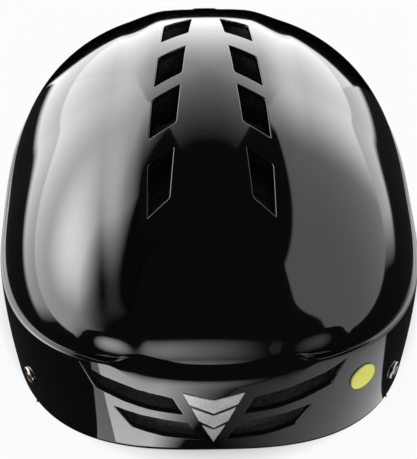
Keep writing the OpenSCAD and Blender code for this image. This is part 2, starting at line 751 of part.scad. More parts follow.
// Straps
strap_gap = 2.2;
strap_in = shell_wall + strap_gap + web_t / 2;
washer_t = 0.8;
module rivet() {
  stem = strap_in + web_t / 2 + 0.3 + washer_t + 0.1;
  rotate_extrude($fn = 48)
    polygon(concat([[0, -stem - 0.9], [shank_r + 1.2, -stem - 0.9], [shank_r + 1.2, -stem], [shank_r, -stem],
        [shank_r, rivet_seat], [rivet_r, rivet_seat], [rivet_r, 0.9], [rivet_r - 0.5, 1.2], [rivet_r - 1.2, 1]],
      [for (a = [60 : -10 : 0]) [(rivet_r - 1.4) * sin(a) / sin(60), 0.7 + 1.56 * (cos(a) - cos(60))]]));
}
module rear_rivets() {
  color("#b9a98f")
    for (t = [rear_rivet_t, 540 - rear_rivet_t])
      on_belt(t, rivet_z)
        rivet();
}
module front_rivets() {
  color("#b9a98f")
    for (t = [front_rivet_t, 180 - front_rivet_t])
      on_belt(t, rivet_z)
        rivet();
}
module rivet_washers() {
  color("silver")
    for (t = rivet_angles)
      on_belt(t, rivet_z)
        translate([0, 0, -strap_in - web_t / 2 - 0.2 - washer_t])
          difference() {
            cylinder(r = 6, h = washer_t, $fn = 48);
            translate([0, 0, -1])
              cylinder(r = shank_r + snug, h = 3, $fn = 48);
          }
}

// Flat ribbon along points p, w giving the way across it at each point
module ribbon(p, w) {
  n = len(p);
  function along(i) = unit(p[min(i + 1, n - 1)] - p[max(i - 1, 0)]);
  function across(i) = unit(w[i] - (w[i] * along(i)) * along(i));
  pts = [for (i = [0 : n - 1]) let(a = across(i) * web_w / 2, u = unit(cross(along(i), across(i))) * web_t / 2)
    each [p[i] + a + u, p[i] - a + u, p[i] - a - u, p[i] + a - u]];
  polyhedron(pts, concat(
    [[0, 1, 2], [0, 2, 3], [4 * n - 1, 4 * n - 2, 4 * n - 3], [4 * n - 1, 4 * n - 3, 4 * n - 4]],
    [for (i = [0 : n - 2], k = [0 : 3], h = [0, 1]) let(a = 4 * i + k, b = 4 * i + (k + 1) % 4)
      h == 0 ? [a, a + 4, b + 4] : [a, b + 4, b]]));
}
rim_tuck = 4;
floor_z = 1.7;
divider_z = 5;
divider_y = -12;
divider_reach = 10;
mouth_deep = 4;
divider_at = [-divider_x, divider_y, divider_z];
// Inward direction of the belt at a rivet on the -X side, and where its strap leaves the rim
function rivet_in(t) = let(n = belt_normal(t, rivet_z)) -unit([n[0], n[1], 0]);
function rim_exit(t) = let(p = belt_at(t, 6, 0) + rivet_in(t) * (strap_in + rim_tuck)) [p[0], p[1], floor_z];
function strap_way(t) = let(p = rim_exit(t)) unit([divider_at[0] - p[0], divider_at[1] - p[1], 0]);
// How far a strap lies flat under the foam before it rises inside the cavity
function flat_run(t) = let(p = rim_exit(t), reach = norm([p[0], p[1]]))
  (reach - plan_r(atan2(p[1], p[0]), cavity_w / 2, cavity_l / 2, cavity_square)) * reach
    / -(strap_way(t) * [p[0], p[1], 0]) + web_w;
// Strap from a rivet on the -X side down, under the foam and in to its mouth of the divider
module side_strap(t) {
  inw = rivet_in(t);
  way = strap_way(t);
  side = [inw[1], -inw[0], 0];
  side_end = [way[1], -way[0], 0];
  a0 = belt_at(t, rivet_z + 8, 0) + inw * strap_in;
  a1 = belt_at(t, rivet_z, 0) + inw * strap_in;
  a2 = belt_at(t, 7.5, 0) + inw * strap_in;
  a3 = rim_exit(t);
  a4 = a3 + way * flat_run(t);
  far = divider_at - way * (divider_reach - mouth_deep + 0.4);
  end = divider_at - way * (divider_reach + 3);
  down = [for (k = [0 : 5]) bezier([a2, a2 + inw * 0.6 - [0, 0, 3], a3 - inw * 2.3, a3], k / 5)];
  inward = [for (k = [1 : 9]) bezier([a4, a4 + way * 7 + [0, 0, 1], end - way * 9 + [0, 0, 7], end], k / 9)];
  p = concat([a0, a1], down, [a4], inward, [far]);
  m = len(p);
  difference() {
    ribbon(p, [for (i = [0 : m - 1]) let(f = soft((i - 2) / 5)) side * (1 - f) + side_end * f]);
    on_belt(t, rivet_z)
      cylinder(r = shank_r + snug, h = 30, center = true, $fn = fine);
  }
}
module strap_rear_left() {
  color("#1c1c1e") side_strap(rear_rivet_t);
}
module strap_rear_right() {
  color("#1c1c1e") mirror([1, 0, 0]) side_strap(rear_rivet_t);
}
module strap_front_left() {
  color("#1c1c1e") side_strap(front_rivet_t);
}
module strap_front_right() {
  color("#1c1c1e") mirror([1, 0, 0]) side_strap(front_rivet_t);
}
// Three-way divider on the -X side, one mouth towards each strap
divider_t = 5.2;
module divider() {
  ways = [-strap_way(rear_rivet_t), -strap_way(front_rivet_t), [1, 0, 0]];
  color("#202224")
    translate(divider_at)
      difference() {
        hull()
          for (w = ways)
            rotate(atan2(w[1], w[0]))
              for (s = [-1, 1])
                translate([divider_reach - 1.5, s * (web_w / 2 + 0.8), -divider_t / 2])
                  cylinder(r = 1.5, h = divider_t, $fn = 24);
        for (w = ways)
          rotate(atan2(w[1], w[0]))
            translate([divider_reach - mouth_deep, -web_w / 2 - web_play, -web_t / 2 - web_play])
              cube([mouth_deep + 2, web_w + 2 * web_play, web_t + 2 * web_play]);
      }
}
module strap_divider_left() {
  divider();
}
module strap_divider_right() {
  mirror([1, 0, 0])
    divider();
}

// Side-release buckle, its plug slides out along +X
socket_x = -divider_x + divider_reach + 2.6;
socket_l = 23;
plug_x = socket_x + socket_l;
plug_l = 11;
wall_b = 1.6;
tail_l = 7;
tail_t = 4;
bar_w = 3;
slot_w = 3.4;
chamber_half = buckle_w / 2 - wall_b;
chamber_z = buckle_t - 2 * wall_b;
loop_r = norm([bar_w / 2, tail_t / 2]) + 0.2;
window_x = 9.5;
window_l = 7.5;
module round_slab(x0, x1, half0, half1, thick, r) {
  hull()
    for (s = [-1, 1]) {
      translate([x0 + r, s * (half0 - r), -thick / 2])
        cylinder(r = r, h = thick, $fn = 24);
      translate([x1 - r, s * (half1 - r), -thick / 2])
        cylinder(r = r, h = thick, $fn = 24);
    }
}
module buckle_socket() {
  color("#1a1b1d")
    translate([socket_x, divider_y, divider_z])
      difference() {
        union() {
          round_slab(0, tail_l + 3, web_w / 2 + 2.4, web_w / 2 + 2.4, tail_t, 1.5);
          round_slab(tail_l, socket_l, web_w / 2 + 3, buckle_w / 2, buckle_t, 1.5);
        }
        // Chamber for the plug, open at the front
        translate([tail_l + 1.2, -chamber_half, -chamber_z / 2])
          cube([socket_l, 2 * chamber_half, chamber_z]);
        // Side windows where the prongs are pressed
        for (s = [-1, 1])
          translate([window_x, s > 0 ? chamber_half - 1 : -chamber_half - 4, -chamber_z / 2])
            cube([window_l, 5, chamber_z]);
        translate([bar_w, -web_w / 2 - web_play, -buckle_t])
          cube([slot_w, web_w + 2 * web_play, 2 * buckle_t]);
      }
}
module buckle_plug() {
  color("#1a1b1d")
    translate([plug_x, divider_y, divider_z])
      difference() {
        union() {
          round_slab(0.3, 4.2, buckle_w / 2, buckle_w / 2 - 1, buckle_t, 1);
          round_slab(1, plug_l, web_w / 2 + 2.4, web_w / 2 + 2.4, tail_t, 1.5);
          // Guide tongue
          translate([-prong_l, -2, -chamber_z / 2 + run_gap])
            cube([prong_l + 2, 4, chamber_z - 2 * run_gap]);
        }
        translate([plug_l - bar_w - slot_w, -web_w / 2 - web_play, -buckle_t])
          cube([slot_w, web_w + 2 * web_play, 2 * buckle_t]);
      }
}
prong_l = 13;
// Springy prong that bends about its round root, with its shoulder and barb
root_r = 1.6;
root_y = 0.56 * chamber_half;
module prong(s) {
  k = chamber_half;
  color("#1a1b1d")
    translate([plug_x, divider_y, divider_z - chamber_z / 2 + run_gap])
      linear_extrude(chamber_z - 2 * run_gap) {
        translate([0.2 - root_r, s * root_y])
          circle(r = root_r, $fn = fine);
        polygon([for (p = [[0.2 - root_r, root_y - root_r], [0.2 - root_r, root_y + root_r],
          [-6.5, 0.95 * k], [-6.5, k + 1], [-8.6, k + 1],
          [-prong_l, 0.78 * k], [-prong_l, 0.66 * k], [-9.4, 0.66 * k]]) [p[0], s * p[1]]]);
      }
}
module prong_front() {
  prong(1);
}
module prong_rear() {
  prong(-1);
}
// Chin webbing: a loop round a buckle bar at x_bar and a flat run to x_far
module chin_web(x_bar, x_far) {
  run = min(x_far, x_bar);
  color("#1c1c1e")
    translate([0, divider_y, divider_z])
      rotate([90, 0, 0])
        linear_extrude(web_w, center = true)
          difference() {
            union() {
              translate([x_bar, 0])
                circle(r = loop_r + web_t, $fn = 48);
              translate([run, -web_t / 2])
                square([abs(x_far - x_bar), web_t]);
            }
            translate([x_bar, 0])
              circle(r = loop_r, $fn = 48);
          }
}
chin_end = divider_x - divider_reach + mouth_deep - 0.4;
module chin_strap_left() {
  chin_web(socket_x + bar_w / 2, -chin_end);
}
module chin_strap_right() {
  chin_web(plug_x + plug_l - bar_w / 2, chin_end);
}
chin_pad_x = 24.5;
chin_pad_l = 28;
chin_pad_t = 6.4;
module chin_pad() {
  color("darkslategray")
    translate([chin_pad_x, divider_y, divider_z])
      difference() {
        hull()
          for (x = [-1, 1], s = [-1, 1])
            translate([x * (chin_pad_l / 2 - 3), s * (web_w / 2 + 1), 0])
              sphere(r = chin_pad_t / 2, $fn = 16);
        cube([60, web_w + 2 * web_play, web_t + 2 * web_play], center = true);
      }
}
module strap_keeper() {
  color("black")
    translate([chin_pad_x + chin_pad_l / 2 + 2.7, divider_y, divider_z])
      difference() {
        cube([3.6, web_w + 3.6, web_t + 3.4], center = true);
        cube([6, web_w + 0.5, web_t + 0.5], center = true);
      }
}

// Reflectors: film cut to outline, laid on the belt
module film(outline, thick) {
  intersection() {
    rotate([90, 0, 0])
      translate([0, 0, belt_b * 0.6])
        linear_extrude(belt_b * 0.5)
          polygon(outline);
    difference() {
      skin_film(-thick - 0.06);
      skin_film(-0.06);
    }
  }
}
module skin_film(inset) {
  nx = 16;
  zs = [for (k = [0 : 8]) 4 + 44 * k / 8];
  pts = concat(
    [for (z = zs, i = [0 : nx]) belt_at(270 - 10 + 20 * i / nx, z, inset)],
    [for (z = zs, i = [0 : nx]) let(p = belt_at(270 - 10 + 20 * i / nx, z, inset)) [p[0], -belt_b + 12, z]]);
  c = nx + 1;
  m = len(zs) * c;
  quads = concat(
    [for (j = [0 : len(zs) - 2], i = [0 : nx - 1])
      [j * c + i, j * c + i + 1, (j + 1) * c + i + 1, (j + 1) * c + i]],
    [for (j = [0 : len(zs) - 2], i = [0 : nx - 1])
      [m + (j + 1) * c + i, m + (j + 1) * c + i + 1, m + j * c + i + 1, m + j * c + i]],
    [for (j = [0 : len(zs) - 2]) [j * c, (j + 1) * c, m + (j + 1) * c, m + j * c]],
    [for (j = [0 : len(zs) - 2]) [m + j * c + nx, m + (j + 1) * c + nx, (j + 1) * c + nx, j * c + nx]],
    [for (i = [0 : nx - 1]) [m + i, m + i + 1, i + 1, i]],
    [for (i = [0 : nx - 1]) [(len(zs) - 1) * c + i, (len(zs) - 1) * c + i + 1,
      m + (len(zs) - 1) * c + i + 1, m + (len(zs) - 1) * c + i]]);
  polyhedron(pts, [for (q = quads, h = [0, 1]) h == 0 ? [q[0], q[2], q[1]] : [q[0], q[3], q[2]]]);
}
// Chevron from its top corner, dip, lower corner and point
module chevron(top, z_top, dip, low, z_low, point) {
  s = chevron_w / 30;
  color("silver")
    film([[-top * s, z_top], [0, dip], [top * s, z_top], [low * s, z_low], [0, point], [-low * s, z_low]],
      film_t);
}
module chevron_top() {
  chevron(15, 44, 38.7, 12, 36.4, 29.4);
}
module chevron_middle() {
  chevron(10.8, 33.9, 27.7, 7.3, 24.2, 18.6);
}
module chevron_low() {
  chevron(5.6, 20.8, 17.1, 2.8, 14.1, 7.5);
}
dot_t = 302.5;
dot_z = 37.5;
module round_reflector() {
  color("yellow")
    on_belt(dot_t, dot_z)
      translate([0, 0, 0.35])
        cylinder(d = dot_d, h = film_t, $fn = 64);
}

outer_shell();
foam_liner();
slip_liner();
slip_tethers();
crown_plug();
brow_pad();
crown_pad_left();
crown_pad_right();
side_pad_left();
side_pad_right();
nape_pad();
front_band();
fit_band_left();
fit_band_right();
cradle_yoke();
cradle_pins();
dial_housing();
dial_housing_cover();
fit_dial();
dial_pinion();
dial_screw();
rear_rivets();
front_rivets();
rivet_washers();
strap_rear_left();
strap_rear_right();
strap_front_left();
strap_front_right();
strap_divider_left();
strap_divider_right();
chin_strap_left();
chin_strap_right();
buckle_socket();
buckle_plug();
prong_front();
prong_rear();
chin_pad();
strap_keeper();
chevron_top();
chevron_middle();
chevron_low();
round_reflector();
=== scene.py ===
import json
import math
import bmesh
import bpy
import numpy as np
from mathutils import Vector, Matrix


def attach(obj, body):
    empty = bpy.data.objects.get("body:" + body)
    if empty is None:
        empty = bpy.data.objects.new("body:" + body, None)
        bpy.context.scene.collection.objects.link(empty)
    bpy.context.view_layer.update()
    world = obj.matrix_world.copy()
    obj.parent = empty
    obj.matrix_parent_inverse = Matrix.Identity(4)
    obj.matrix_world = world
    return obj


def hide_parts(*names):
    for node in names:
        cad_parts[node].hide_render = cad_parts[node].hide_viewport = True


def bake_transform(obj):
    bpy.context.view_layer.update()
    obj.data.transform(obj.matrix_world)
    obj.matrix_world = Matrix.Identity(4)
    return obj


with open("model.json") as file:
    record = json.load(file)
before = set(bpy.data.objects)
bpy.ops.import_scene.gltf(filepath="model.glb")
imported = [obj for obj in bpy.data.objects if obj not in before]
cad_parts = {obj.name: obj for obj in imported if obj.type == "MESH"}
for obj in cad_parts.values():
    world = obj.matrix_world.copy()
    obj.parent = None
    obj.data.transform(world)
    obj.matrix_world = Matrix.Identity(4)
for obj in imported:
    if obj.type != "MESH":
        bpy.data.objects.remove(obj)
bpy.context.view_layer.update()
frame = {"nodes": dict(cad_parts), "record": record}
scene = bpy.context.scene
mm = 0.001
print("frame loaded")


def soften(u):  # 0 to 1 with gentle ends
    u = np.clip(u, 0, 1)
    return u * u * (3 - 2 * u)


def bump(u):  # 1 at the middle, 0 from one unit away
    u = np.clip(1 - u * u, 0, 1)
    return u * u


def newObject(name, bm, material):
    mesh = bpy.data.meshes.new(name)
    bm.to_mesh(mesh)
    bm.free()
    mesh.materials.append(material)
    piece = bpy.data.objects.new(name, mesh)
    scene.collection.objects.link(piece)
    return piece


def bodyOf(node):
    return next(body for body, names in frame["record"]["behaviour"]["bodies"].items() if node in names)


def slotOf(node):
    return next(s["material_slot"] for s in frame["record"]["subparts"] if s["node"] == node)


def settle(piece, node):  # rides on the body of the node that it stands for
    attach(piece, bodyOf(node))
    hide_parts(node)
    slotOf(node)


def span(piece, node, body, start, end):  # for a piece between the helmet and a body that moves: hides the node and fixes the piece's placement in its mesh
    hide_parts(node)
    slotOf(node)
    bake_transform(piece)


class Sock:  # wraps one node socket
    def __init__(self, tree, socket):
        self.tree, self.socket = tree, socket

    def math(self, operation, *others, flip=False):
        node = self.tree.nodes.new("ShaderNodeMath")
        node.operation = operation
        given = [self, *others]
        if flip:
            given.reverse()
        for slot, value in zip(node.inputs, given):
            if isinstance(value, Sock):
                self.tree.links.new(value.socket, slot)
            else:
                slot.default_value = value
        return Sock(self.tree, node.outputs[0])

    def __add__(self, other):
        return self.math("ADD", other)

    def __radd__(self, other):
        return self.math("ADD", other)

    def __sub__(self, other):
        return self.math("SUBTRACT", other)

    def __rsub__(self, other):
        return self.math("SUBTRACT", other, flip=True)

    def __mul__(self, other):
        return self.math("MULTIPLY", other)

    def __truediv__(self, other):
        return self.math("DIVIDE", other)

    def clamp(self):
        return self.math("MINIMUM", 1.0).math("MAXIMUM", 0.0)

    def over(self, low, high):  # 0 below low, 1 above high
        return ((self - low) / (high - low)).clamp()


class Finish:  # one material with a Principled shader
    def __init__(self, name, **fixed):
        self.material = bpy.data.materials.new(name)
        self.material.use_nodes = True
        self.tree = self.material.node_tree
        self.shader = next(n for n in self.tree.nodes if n.type == "BSDF_PRINCIPLED")
        for key, value in fixed.items():
            self.shader.inputs[key.replace("_", " ")].default_value = value

    def node(self, kind, settings=None, out=0, **values):
        made = self.tree.nodes.new("ShaderNode" + kind)
        for key, value in (settings or {}).items():
            setattr(made, key, value)
        for key, value in values.items():
            self.put(made.inputs[key.replace("_", " ")], value)
        return Sock(self.tree, made.outputs[out])

    def put(self, slot, value):
        if isinstance(value, Sock):
            self.tree.links.new(value.socket, slot)
        else:
            slot.default_value = value

    def feed(self, **links):
        for key, value in links.items():
            self.put(self.shader.inputs[key.replace("_", " ")], value)

    def place(self, scale=(1, 1, 1)):  # object coordinates in millimetres
        coordinates = self.node("TexCoord", out=3)
        return self.node("Mapping", Vector=coordinates, Scale=tuple(s / mm for s in scale))

    def noise(self, vector, size, detail):  # size is the grain in millimetres
        return self.node("TexNoise", Vector=vector, Scale=1.0 / size, Detail=detail)

    def mix(self, factor, first, second):
        made = self.tree.nodes.new("ShaderNodeMix")
        made.data_type = "RGBA"
        self.put(made.inputs["Factor"], factor)
        for name, value in (("A", first), ("B", second)):
            slot = next(s for s in made.inputs if s.name == name and s.type == "RGBA")
            self.put(slot, value if isinstance(value, Sock) else (*value, 1))
        return Sock(self.tree, next(s for s in made.outputs if s.type == "RGBA"))

    def bump(self, height, strength, distance):  # distance in millimetres
        return self.node("Bump", Height=height, Strength=strength, Distance=distance * mm)


def glossLacquer():
    made = Finish("glossLacquer", Roughness=0.05, IOR=1.5, Coat_Weight=0.12, Coat_Roughness=0.03)
    where = made.place()
    haze = made.noise(where, 45, 3)
    orange = made.noise(where, 3.2, 2)
    dust = made.noise(where, 0.35, 1).over(0.72, 0.8)
    made.feed(Base_Color=made.mix(haze, (0.0016, 0.0016, 0.0018), (0.0034, 0.0034, 0.0038)),
              Roughness=0.045 + haze * 0.03 + dust * 0.12,
              Normal=made.bump(orange, 0.05, 0.02))
    return made.material


def beadFoam():
    made = Finish("beadFoam", Roughness=0.75, IOR=1.45)
    where = made.place()
    cells = made.node("TexVoronoi", {"feature": "DISTANCE_TO_EDGE"}, Vector=where, Scale=1 / 3.4)
    tint = made.node("TexVoronoi", {"feature": "F1"}, out=1, Vector=where, Scale=1 / 3.4)
    shade = made.node("SeparateColor", Color=tint)
    seam = cells.over(0.0, 0.12)
    grain = made.noise(where, 0.5, 2)
    made.feed(Base_Color=made.mix(seam * (0.55 + shade * 0.45), (0.010, 0.010, 0.011), (0.034, 0.034, 0.036)),
              Roughness=0.62 + grain * 0.25,
              Normal=made.bump(seam * 0.8 + grain * 0.2, 0.6, 0.25))
    return made.material


def slipSheet():
    made = Finish("slipSheet", Roughness=0.4, IOR=1.49, Coat_Weight=0.15)
    where = made.place()
    flow = made.noise(where, 25, 3)
    grain = made.noise(where, 0.6, 2)
    made.feed(Base_Color=made.mix(flow, (0.016, 0.016, 0.017), (0.028, 0.028, 0.03)),
              Roughness=0.3 + grain * 0.2,
              Normal=made.bump(grain, 0.25, 0.05))
    return made.material


def mouldedPlastic(name, low, high, rough, grainSize=0.45, depth=0.05):
    made = Finish(name, Roughness=rough, IOR=1.48)
    where = made.place()
    spark = made.noise(where, grainSize, 2)
    cloud = made.noise(where, 14, 2)
    made.feed(Base_Color=made.mix(cloud, low, high), Roughness=rough - 0.08 + spark * 0.2,
              Normal=made.bump(spark, 0.45, depth))
    return made.material


def platedMetal(name, low, high, rough):
    made = Finish(name, Metallic=1.0, Roughness=rough)
    where = made.place()
    wear = made.noise(where, 2.6, 4)
    scratch = made.noise(made.place(scale=(1, 1, 14)), 1.4, 2)
    made.feed(Base_Color=made.mix(wear, low, high),
              Roughness=rough - 0.07 + wear * 0.16 + scratch.over(0.6, 0.75) * 0.1,
              Normal=made.bump(scratch, 0.1, 0.02))
    return made.material


def beadFilm(name, low, high, bead=0.28):  # glass-bead reflective film
    made = Finish(name, Metallic=0.15, Roughness=0.42, Coat_Weight=0.35, Coat_Roughness=0.12)
    where = made.place()
    spots = made.noise(where, bead, 1)
    patch = made.noise(where, 1.1, 3)
    cloud = made.noise(where, 7, 2)
    mixed = (spots * 0.5 + patch * 0.35 + cloud * 0.25).over(0.35, 0.72)
    made.feed(Base_Color=made.mix(mixed, low, high), Roughness=0.3 + spots * 0.3,
              Normal=made.bump(spots, 0.5, 0.04))
    return made.material


def webbingFinish(name, low, high):  # herringbone weave along the strap's own UV map, in millimetres
    pitch, chevron, ribPitch = 1.1, 3.6, 0.55
    made = Finish(name, Roughness=0.78, IOR=1.45, Sheen_Weight=0.25, Sheen_Roughness=0.5)
    coordinates = made.node("TexCoord", out=2)
    split = made.tree.nodes.new("ShaderNodeSeparateXYZ")
    made.tree.links.new(coordinates.socket, split.inputs[0])
    along, across = Sock(made.tree, split.outputs[0]), Sock(made.tree, split.outputs[1])
    fold = (across / chevron).math("PINGPONG", 1.0) * chevron
    twill = ((along + fold) * (2 * math.pi / pitch)).math("SINE") * 0.5 + 0.5
    rib = (across * (2 * math.pi / ribPitch)).math("SINE") * 0.5 + 0.5
    fibre = made.noise(made.node("CombineXYZ", X=along * 9.0, Y=across * 1.2), 1.0, 2)
    thread = twill * 0.7 + rib * 0.3
    made.feed(Base_Color=made.mix((thread * 0.8 + fibre * 0.3).clamp(), low, high),
              Roughness=0.68 + fibre * 0.2, Normal=made.bump(thread, 0.8, 0.14))
    return made.material


def padFabric():
    made = Finish("padFabric", Roughness=0.9, IOR=1.4, Sheen_Weight=0.4, Sheen_Roughness=0.45)
    where = made.place()
    knit = made.node("TexVoronoi", {"feature": "F1"}, Vector=where, Scale=1 / 0.8)
    pile = made.noise(where, 0.5, 3)
    brushed = made.noise(where, 9, 3)
    nap = (pile * 0.6 + brushed * 0.5).clamp()
    made.feed(Base_Color=made.mix(nap, (0.012, 0.013, 0.014), (0.045, 0.048, 0.052)),
              Roughness=0.85 + pile * 0.1, Normal=made.bump(knit * 0.6 + pile * 0.4, 0.7, 0.2))
    return made.material


finishes = {
    "gloss_black_shell": glossLacquer(),
    "black_foam": beadFoam(),
    "dark_liner": slipSheet(),
    "grey_elastomer": mouldedPlastic("greyElastomer", (0.05, 0.05, 0.052), (0.075, 0.075, 0.08), 0.6),
    "pad_fabric": padFabric(),
    "black_nylon": mouldedPlastic("blackNylon", (0.012, 0.012, 0.013), (0.02, 0.02, 0.021), 0.5),
    "dial_rubber": mouldedPlastic("dialRubber", (0.014, 0.014, 0.015), (0.024, 0.024, 0.026), 0.68,
                                  0.3, 0.06),
    "white_acetal": mouldedPlastic("whiteAcetal", (0.72, 0.72, 0.69), (0.8, 0.8, 0.77), 0.35, 0.8, 0.02),
    "steel": platedMetal("zincSteel", (0.42, 0.42, 0.43), (0.58, 0.58, 0.6), 0.34),
    "nickel": platedMetal("pressedNickel", (0.42, 0.36, 0.3), (0.62, 0.55, 0.47), 0.26),
    "webbing": webbingFinish("strapWeave", (0.006, 0.006, 0.0065), (0.03, 0.03, 0.032)),
    "buckle_plastic": mouldedPlastic("buckleAcetal", (0.009, 0.009, 0.01), (0.015, 0.015, 0.016), 0.36,
                                     0.6, 0.03),
    "elastic": mouldedPlastic("elasticLoop", (0.006, 0.006, 0.007), (0.02, 0.02, 0.021), 0.8, 0.7, 0.2),
    "reflective_grey": beadFilm("reflectiveGrey", (0.24, 0.24, 0.245), (0.6, 0.6, 0.61)),
    "reflective_yellow": beadFilm("reflectiveYellow", (0.6, 0.6, 0.02), (0.86, 0.86, 0.09), 0.5),
}
for node, piece in frame["nodes"].items():
    for place in piece.material_slots:
        place.material = finishes[slotOf(node)]
print("finishes made")


skin = {  # the outer skin's sizes, in millimetres where they are lengths
    "halfWidth": 106, "halfLength": 132, "crown": 140, "beltSquare": 2.9, "crownSquare": 2.3,
    "domeRound": 1.8, "egg": 0.03, "tuck": 5.2, "tuckCurve": 1.6, "earRise": 6, "earReach": 55,
    "sideLedge": 48, "endLedge": 60, "ledgeCurve": 1.7, "ledgeStep": 1.6, "ledgeLip": 1.2,
    "shelfHeight": 13, "shelfDepth": 3.4, "baseDrop": 4, "shelfReach": 26, "smileLow": 3.5, "smileHigh": 4.5,
    "smileEnd": 1.2, "scoopDepth": 3.2, "scoopMiddle": 52, "scoopHalf": 15, "scoopHeight": 13,
    "panelRise": 1.6, "panelMid": 37.2, "panelFlare": 6, "panelWidest": -85, "panelNarrowest": 115,
    "crease": 20,
}


def planRadius(t, a, b, n):
    across = np.abs(np.cos(t) / (a * (1 - skin["egg"] * np.sin(t))))
    return (across ** n + np.abs(np.sin(t) / b) ** n) ** (-1 / n)


def beltRadius(t):
    return planRadius(t, skin["halfWidth"], skin["halfLength"], skin["beltSquare"])


def panelHalf(y):
    part = (y - skin["panelWidest"]) / (skin["panelNarrowest"] - skin["panelWidest"])
    return skin["panelMid"] + skin["panelFlare"] * np.cos(np.pi * part)


def panelMask(x, y):
    return soften((panelHalf(y) + skin["crease"] / 2 - np.abs(x)) / skin["crease"])


def footMask(t):
    r = beltRadius(t)
    return panelMask(r * np.cos(t), r * np.sin(t))


def rimHeight(t):
    return skin["earRise"] * bump(beltRadius(t) * np.sin(t) / skin["earReach"])


def ledgeHeight(t):
    rise = skin["endLedge"] - skin["sideLedge"]
    return skin["sideLedge"] + rise * np.abs(np.sin(t)) ** skin["ledgeCurve"]


def beltTop(t):
    return ledgeHeight(t) - skin["shelfHeight"] * footMask(t)


def beltPoint(t, z):
    off = -skin["tuck"] * np.clip(1 - z / beltTop(t), 0, 1) ** skin["tuckCurve"]
    r = planRadius(t, skin["halfWidth"] + off, skin["halfLength"] + off, skin["beltSquare"])
    return np.stack([r * np.cos(t), r * np.sin(t), z + 0 * r], -1)


def domePoint(t, k):
    ledge = ledgeHeight(t)
    base = ledge - skin["baseDrop"]
    rise = skin["crown"] - base
    r = beltRadius(t)
    part = np.minimum((r * np.cos(t) / panelHalf(r * np.sin(t))) ** 2, skin["smileEnd"])
    smile = (skin["smileLow"] + skin["smileHigh"]) * part - skin["smileLow"]
    start = ledge + skin["ledgeLip"] + footMask(t) * smile
    q = np.arcsin(((start - base) / rise) ** (skin["domeRound"] / 2))
    q = q + (np.pi / 2 - q) * k
    s = np.maximum(np.cos(q), 0) ** (2 / skin["domeRound"])
    c = np.sin(q) ** (2 / skin["domeRound"])
    z = base + rise * c
    n = skin["beltSquare"] + (skin["crownSquare"] - skin["beltSquare"]) * c
    r = planRadius(t, skin["halfWidth"] - skin["ledgeStep"], skin["halfLength"] - skin["ledgeStep"], n) * s
    x, y = r * np.cos(t), r * np.sin(t)
    up = np.stack([x / skin["halfWidth"] ** 2, y / skin["halfLength"] ** 2, (z - base) / rise ** 2], -1)
    up /= np.linalg.norm(up, axis=-1, keepdims=True)
    over = z - ledge - skin["ledgeLip"]
    grown = soften(over / skin["shelfReach"])
    lift = panelMask(x, y) * (skin["panelRise"] * grown - skin["shelfDepth"] * (1 - grown))
    scoop = skin["scoopDepth"] * bump((np.abs(x) - skin["scoopMiddle"]) / skin["scoopHalf"])
    scoop = np.where(y < 0, scoop * bump((over - 1) / skin["scoopHeight"]), 0)
    return np.stack([x, y, z], -1) + up * (lift - scoop)[..., None]


def skinPoint(t, v):  # v runs 0 to 1 up the belt, to 2 round the ledge, and to 3 at the crown
    t, v = np.broadcast_arrays(np.asarray(t, float), np.asarray(v, float))
    rim = rimHeight(t)
    belt = beltPoint(t, rim + (beltTop(t) - rim) * np.clip(v, 0, 1))
    low, high = beltPoint(t, beltTop(t)), domePoint(t, np.zeros_like(t))
    f = np.clip(v - 1, 0, 1) * np.pi / 2
    w = np.stack([1 - np.cos(f), 1 - np.cos(f), np.sin(f)], -1)
    ledge = low + (high - low) * w
    dome = domePoint(t, np.clip(v - 2, 0, 1))
    return np.where((v <= 1)[..., None], belt, np.where((v <= 2)[..., None], ledge, dome))


def skinNormal(t, v):
    t, v = np.broadcast_arrays(np.asarray(t, float), np.asarray(v, float))
    step, nearCrown, tiny = 2e-4, 2.995, 1e-12
    up = np.minimum(v + step, 3 - step / 2)
    low = np.maximum(up - 2 * step, 0)
    a = skinPoint(t + step, v) - skinPoint(t - step, v)
    b = skinPoint(t, up) - skinPoint(t, low)
    n = np.cross(a, b)
    size = np.linalg.norm(n, axis=-1, keepdims=True)
    n = np.where(size > tiny, n / np.maximum(size, tiny), np.array([0, 0, 1.0]))
    return np.where((v > nearCrown)[..., None], np.array([0, 0, 1.0]), n)


def findOnDome(x, y):  # the (t, v) whose points lie over places seen from above
    aimX, aimY = np.array(x, float), np.array(y, float)
    for step in range(10):
        t, reach = np.arctan2(aimY, aimX), np.hypot(aimX, aimY)
        low, high = np.full_like(aimX, 2.0), np.full_like(aimX, 3.0)
        for halving in range(28):
            v = (low + high) / 2
            p = skinPoint(t, v)
            outside = np.hypot(p[..., 0], p[..., 1]) > reach
            low, high = np.where(outside, v, low), np.where(outside, high, v)
        p = skinPoint(t, v)
        aimX += x - p[..., 0]
        aimY += y - p[..., 1]
    return t, v


def findOnBelt(x, z, rear=True):  # the (t, v) of the belt at places across and their heights
    x, z = np.array(x, float), np.array(z, float)
    short = 0.03 * math.pi  # the search stops this far before the sides
    low = np.full_like(x, math.pi + short if rear else math.pi - short)
    high = np.full_like(x, 2 * math.pi - short if rear else short)
    for halving in range(40):
        t = (low + high) / 2
        left = beltPoint(t, z)[..., 0] < x
        low, high = np.where(left, t, low), np.where(left, high, t)
    rim, top = rimHeight(t), beltTop(t)
    return t, (z - rim) / (top - rim)


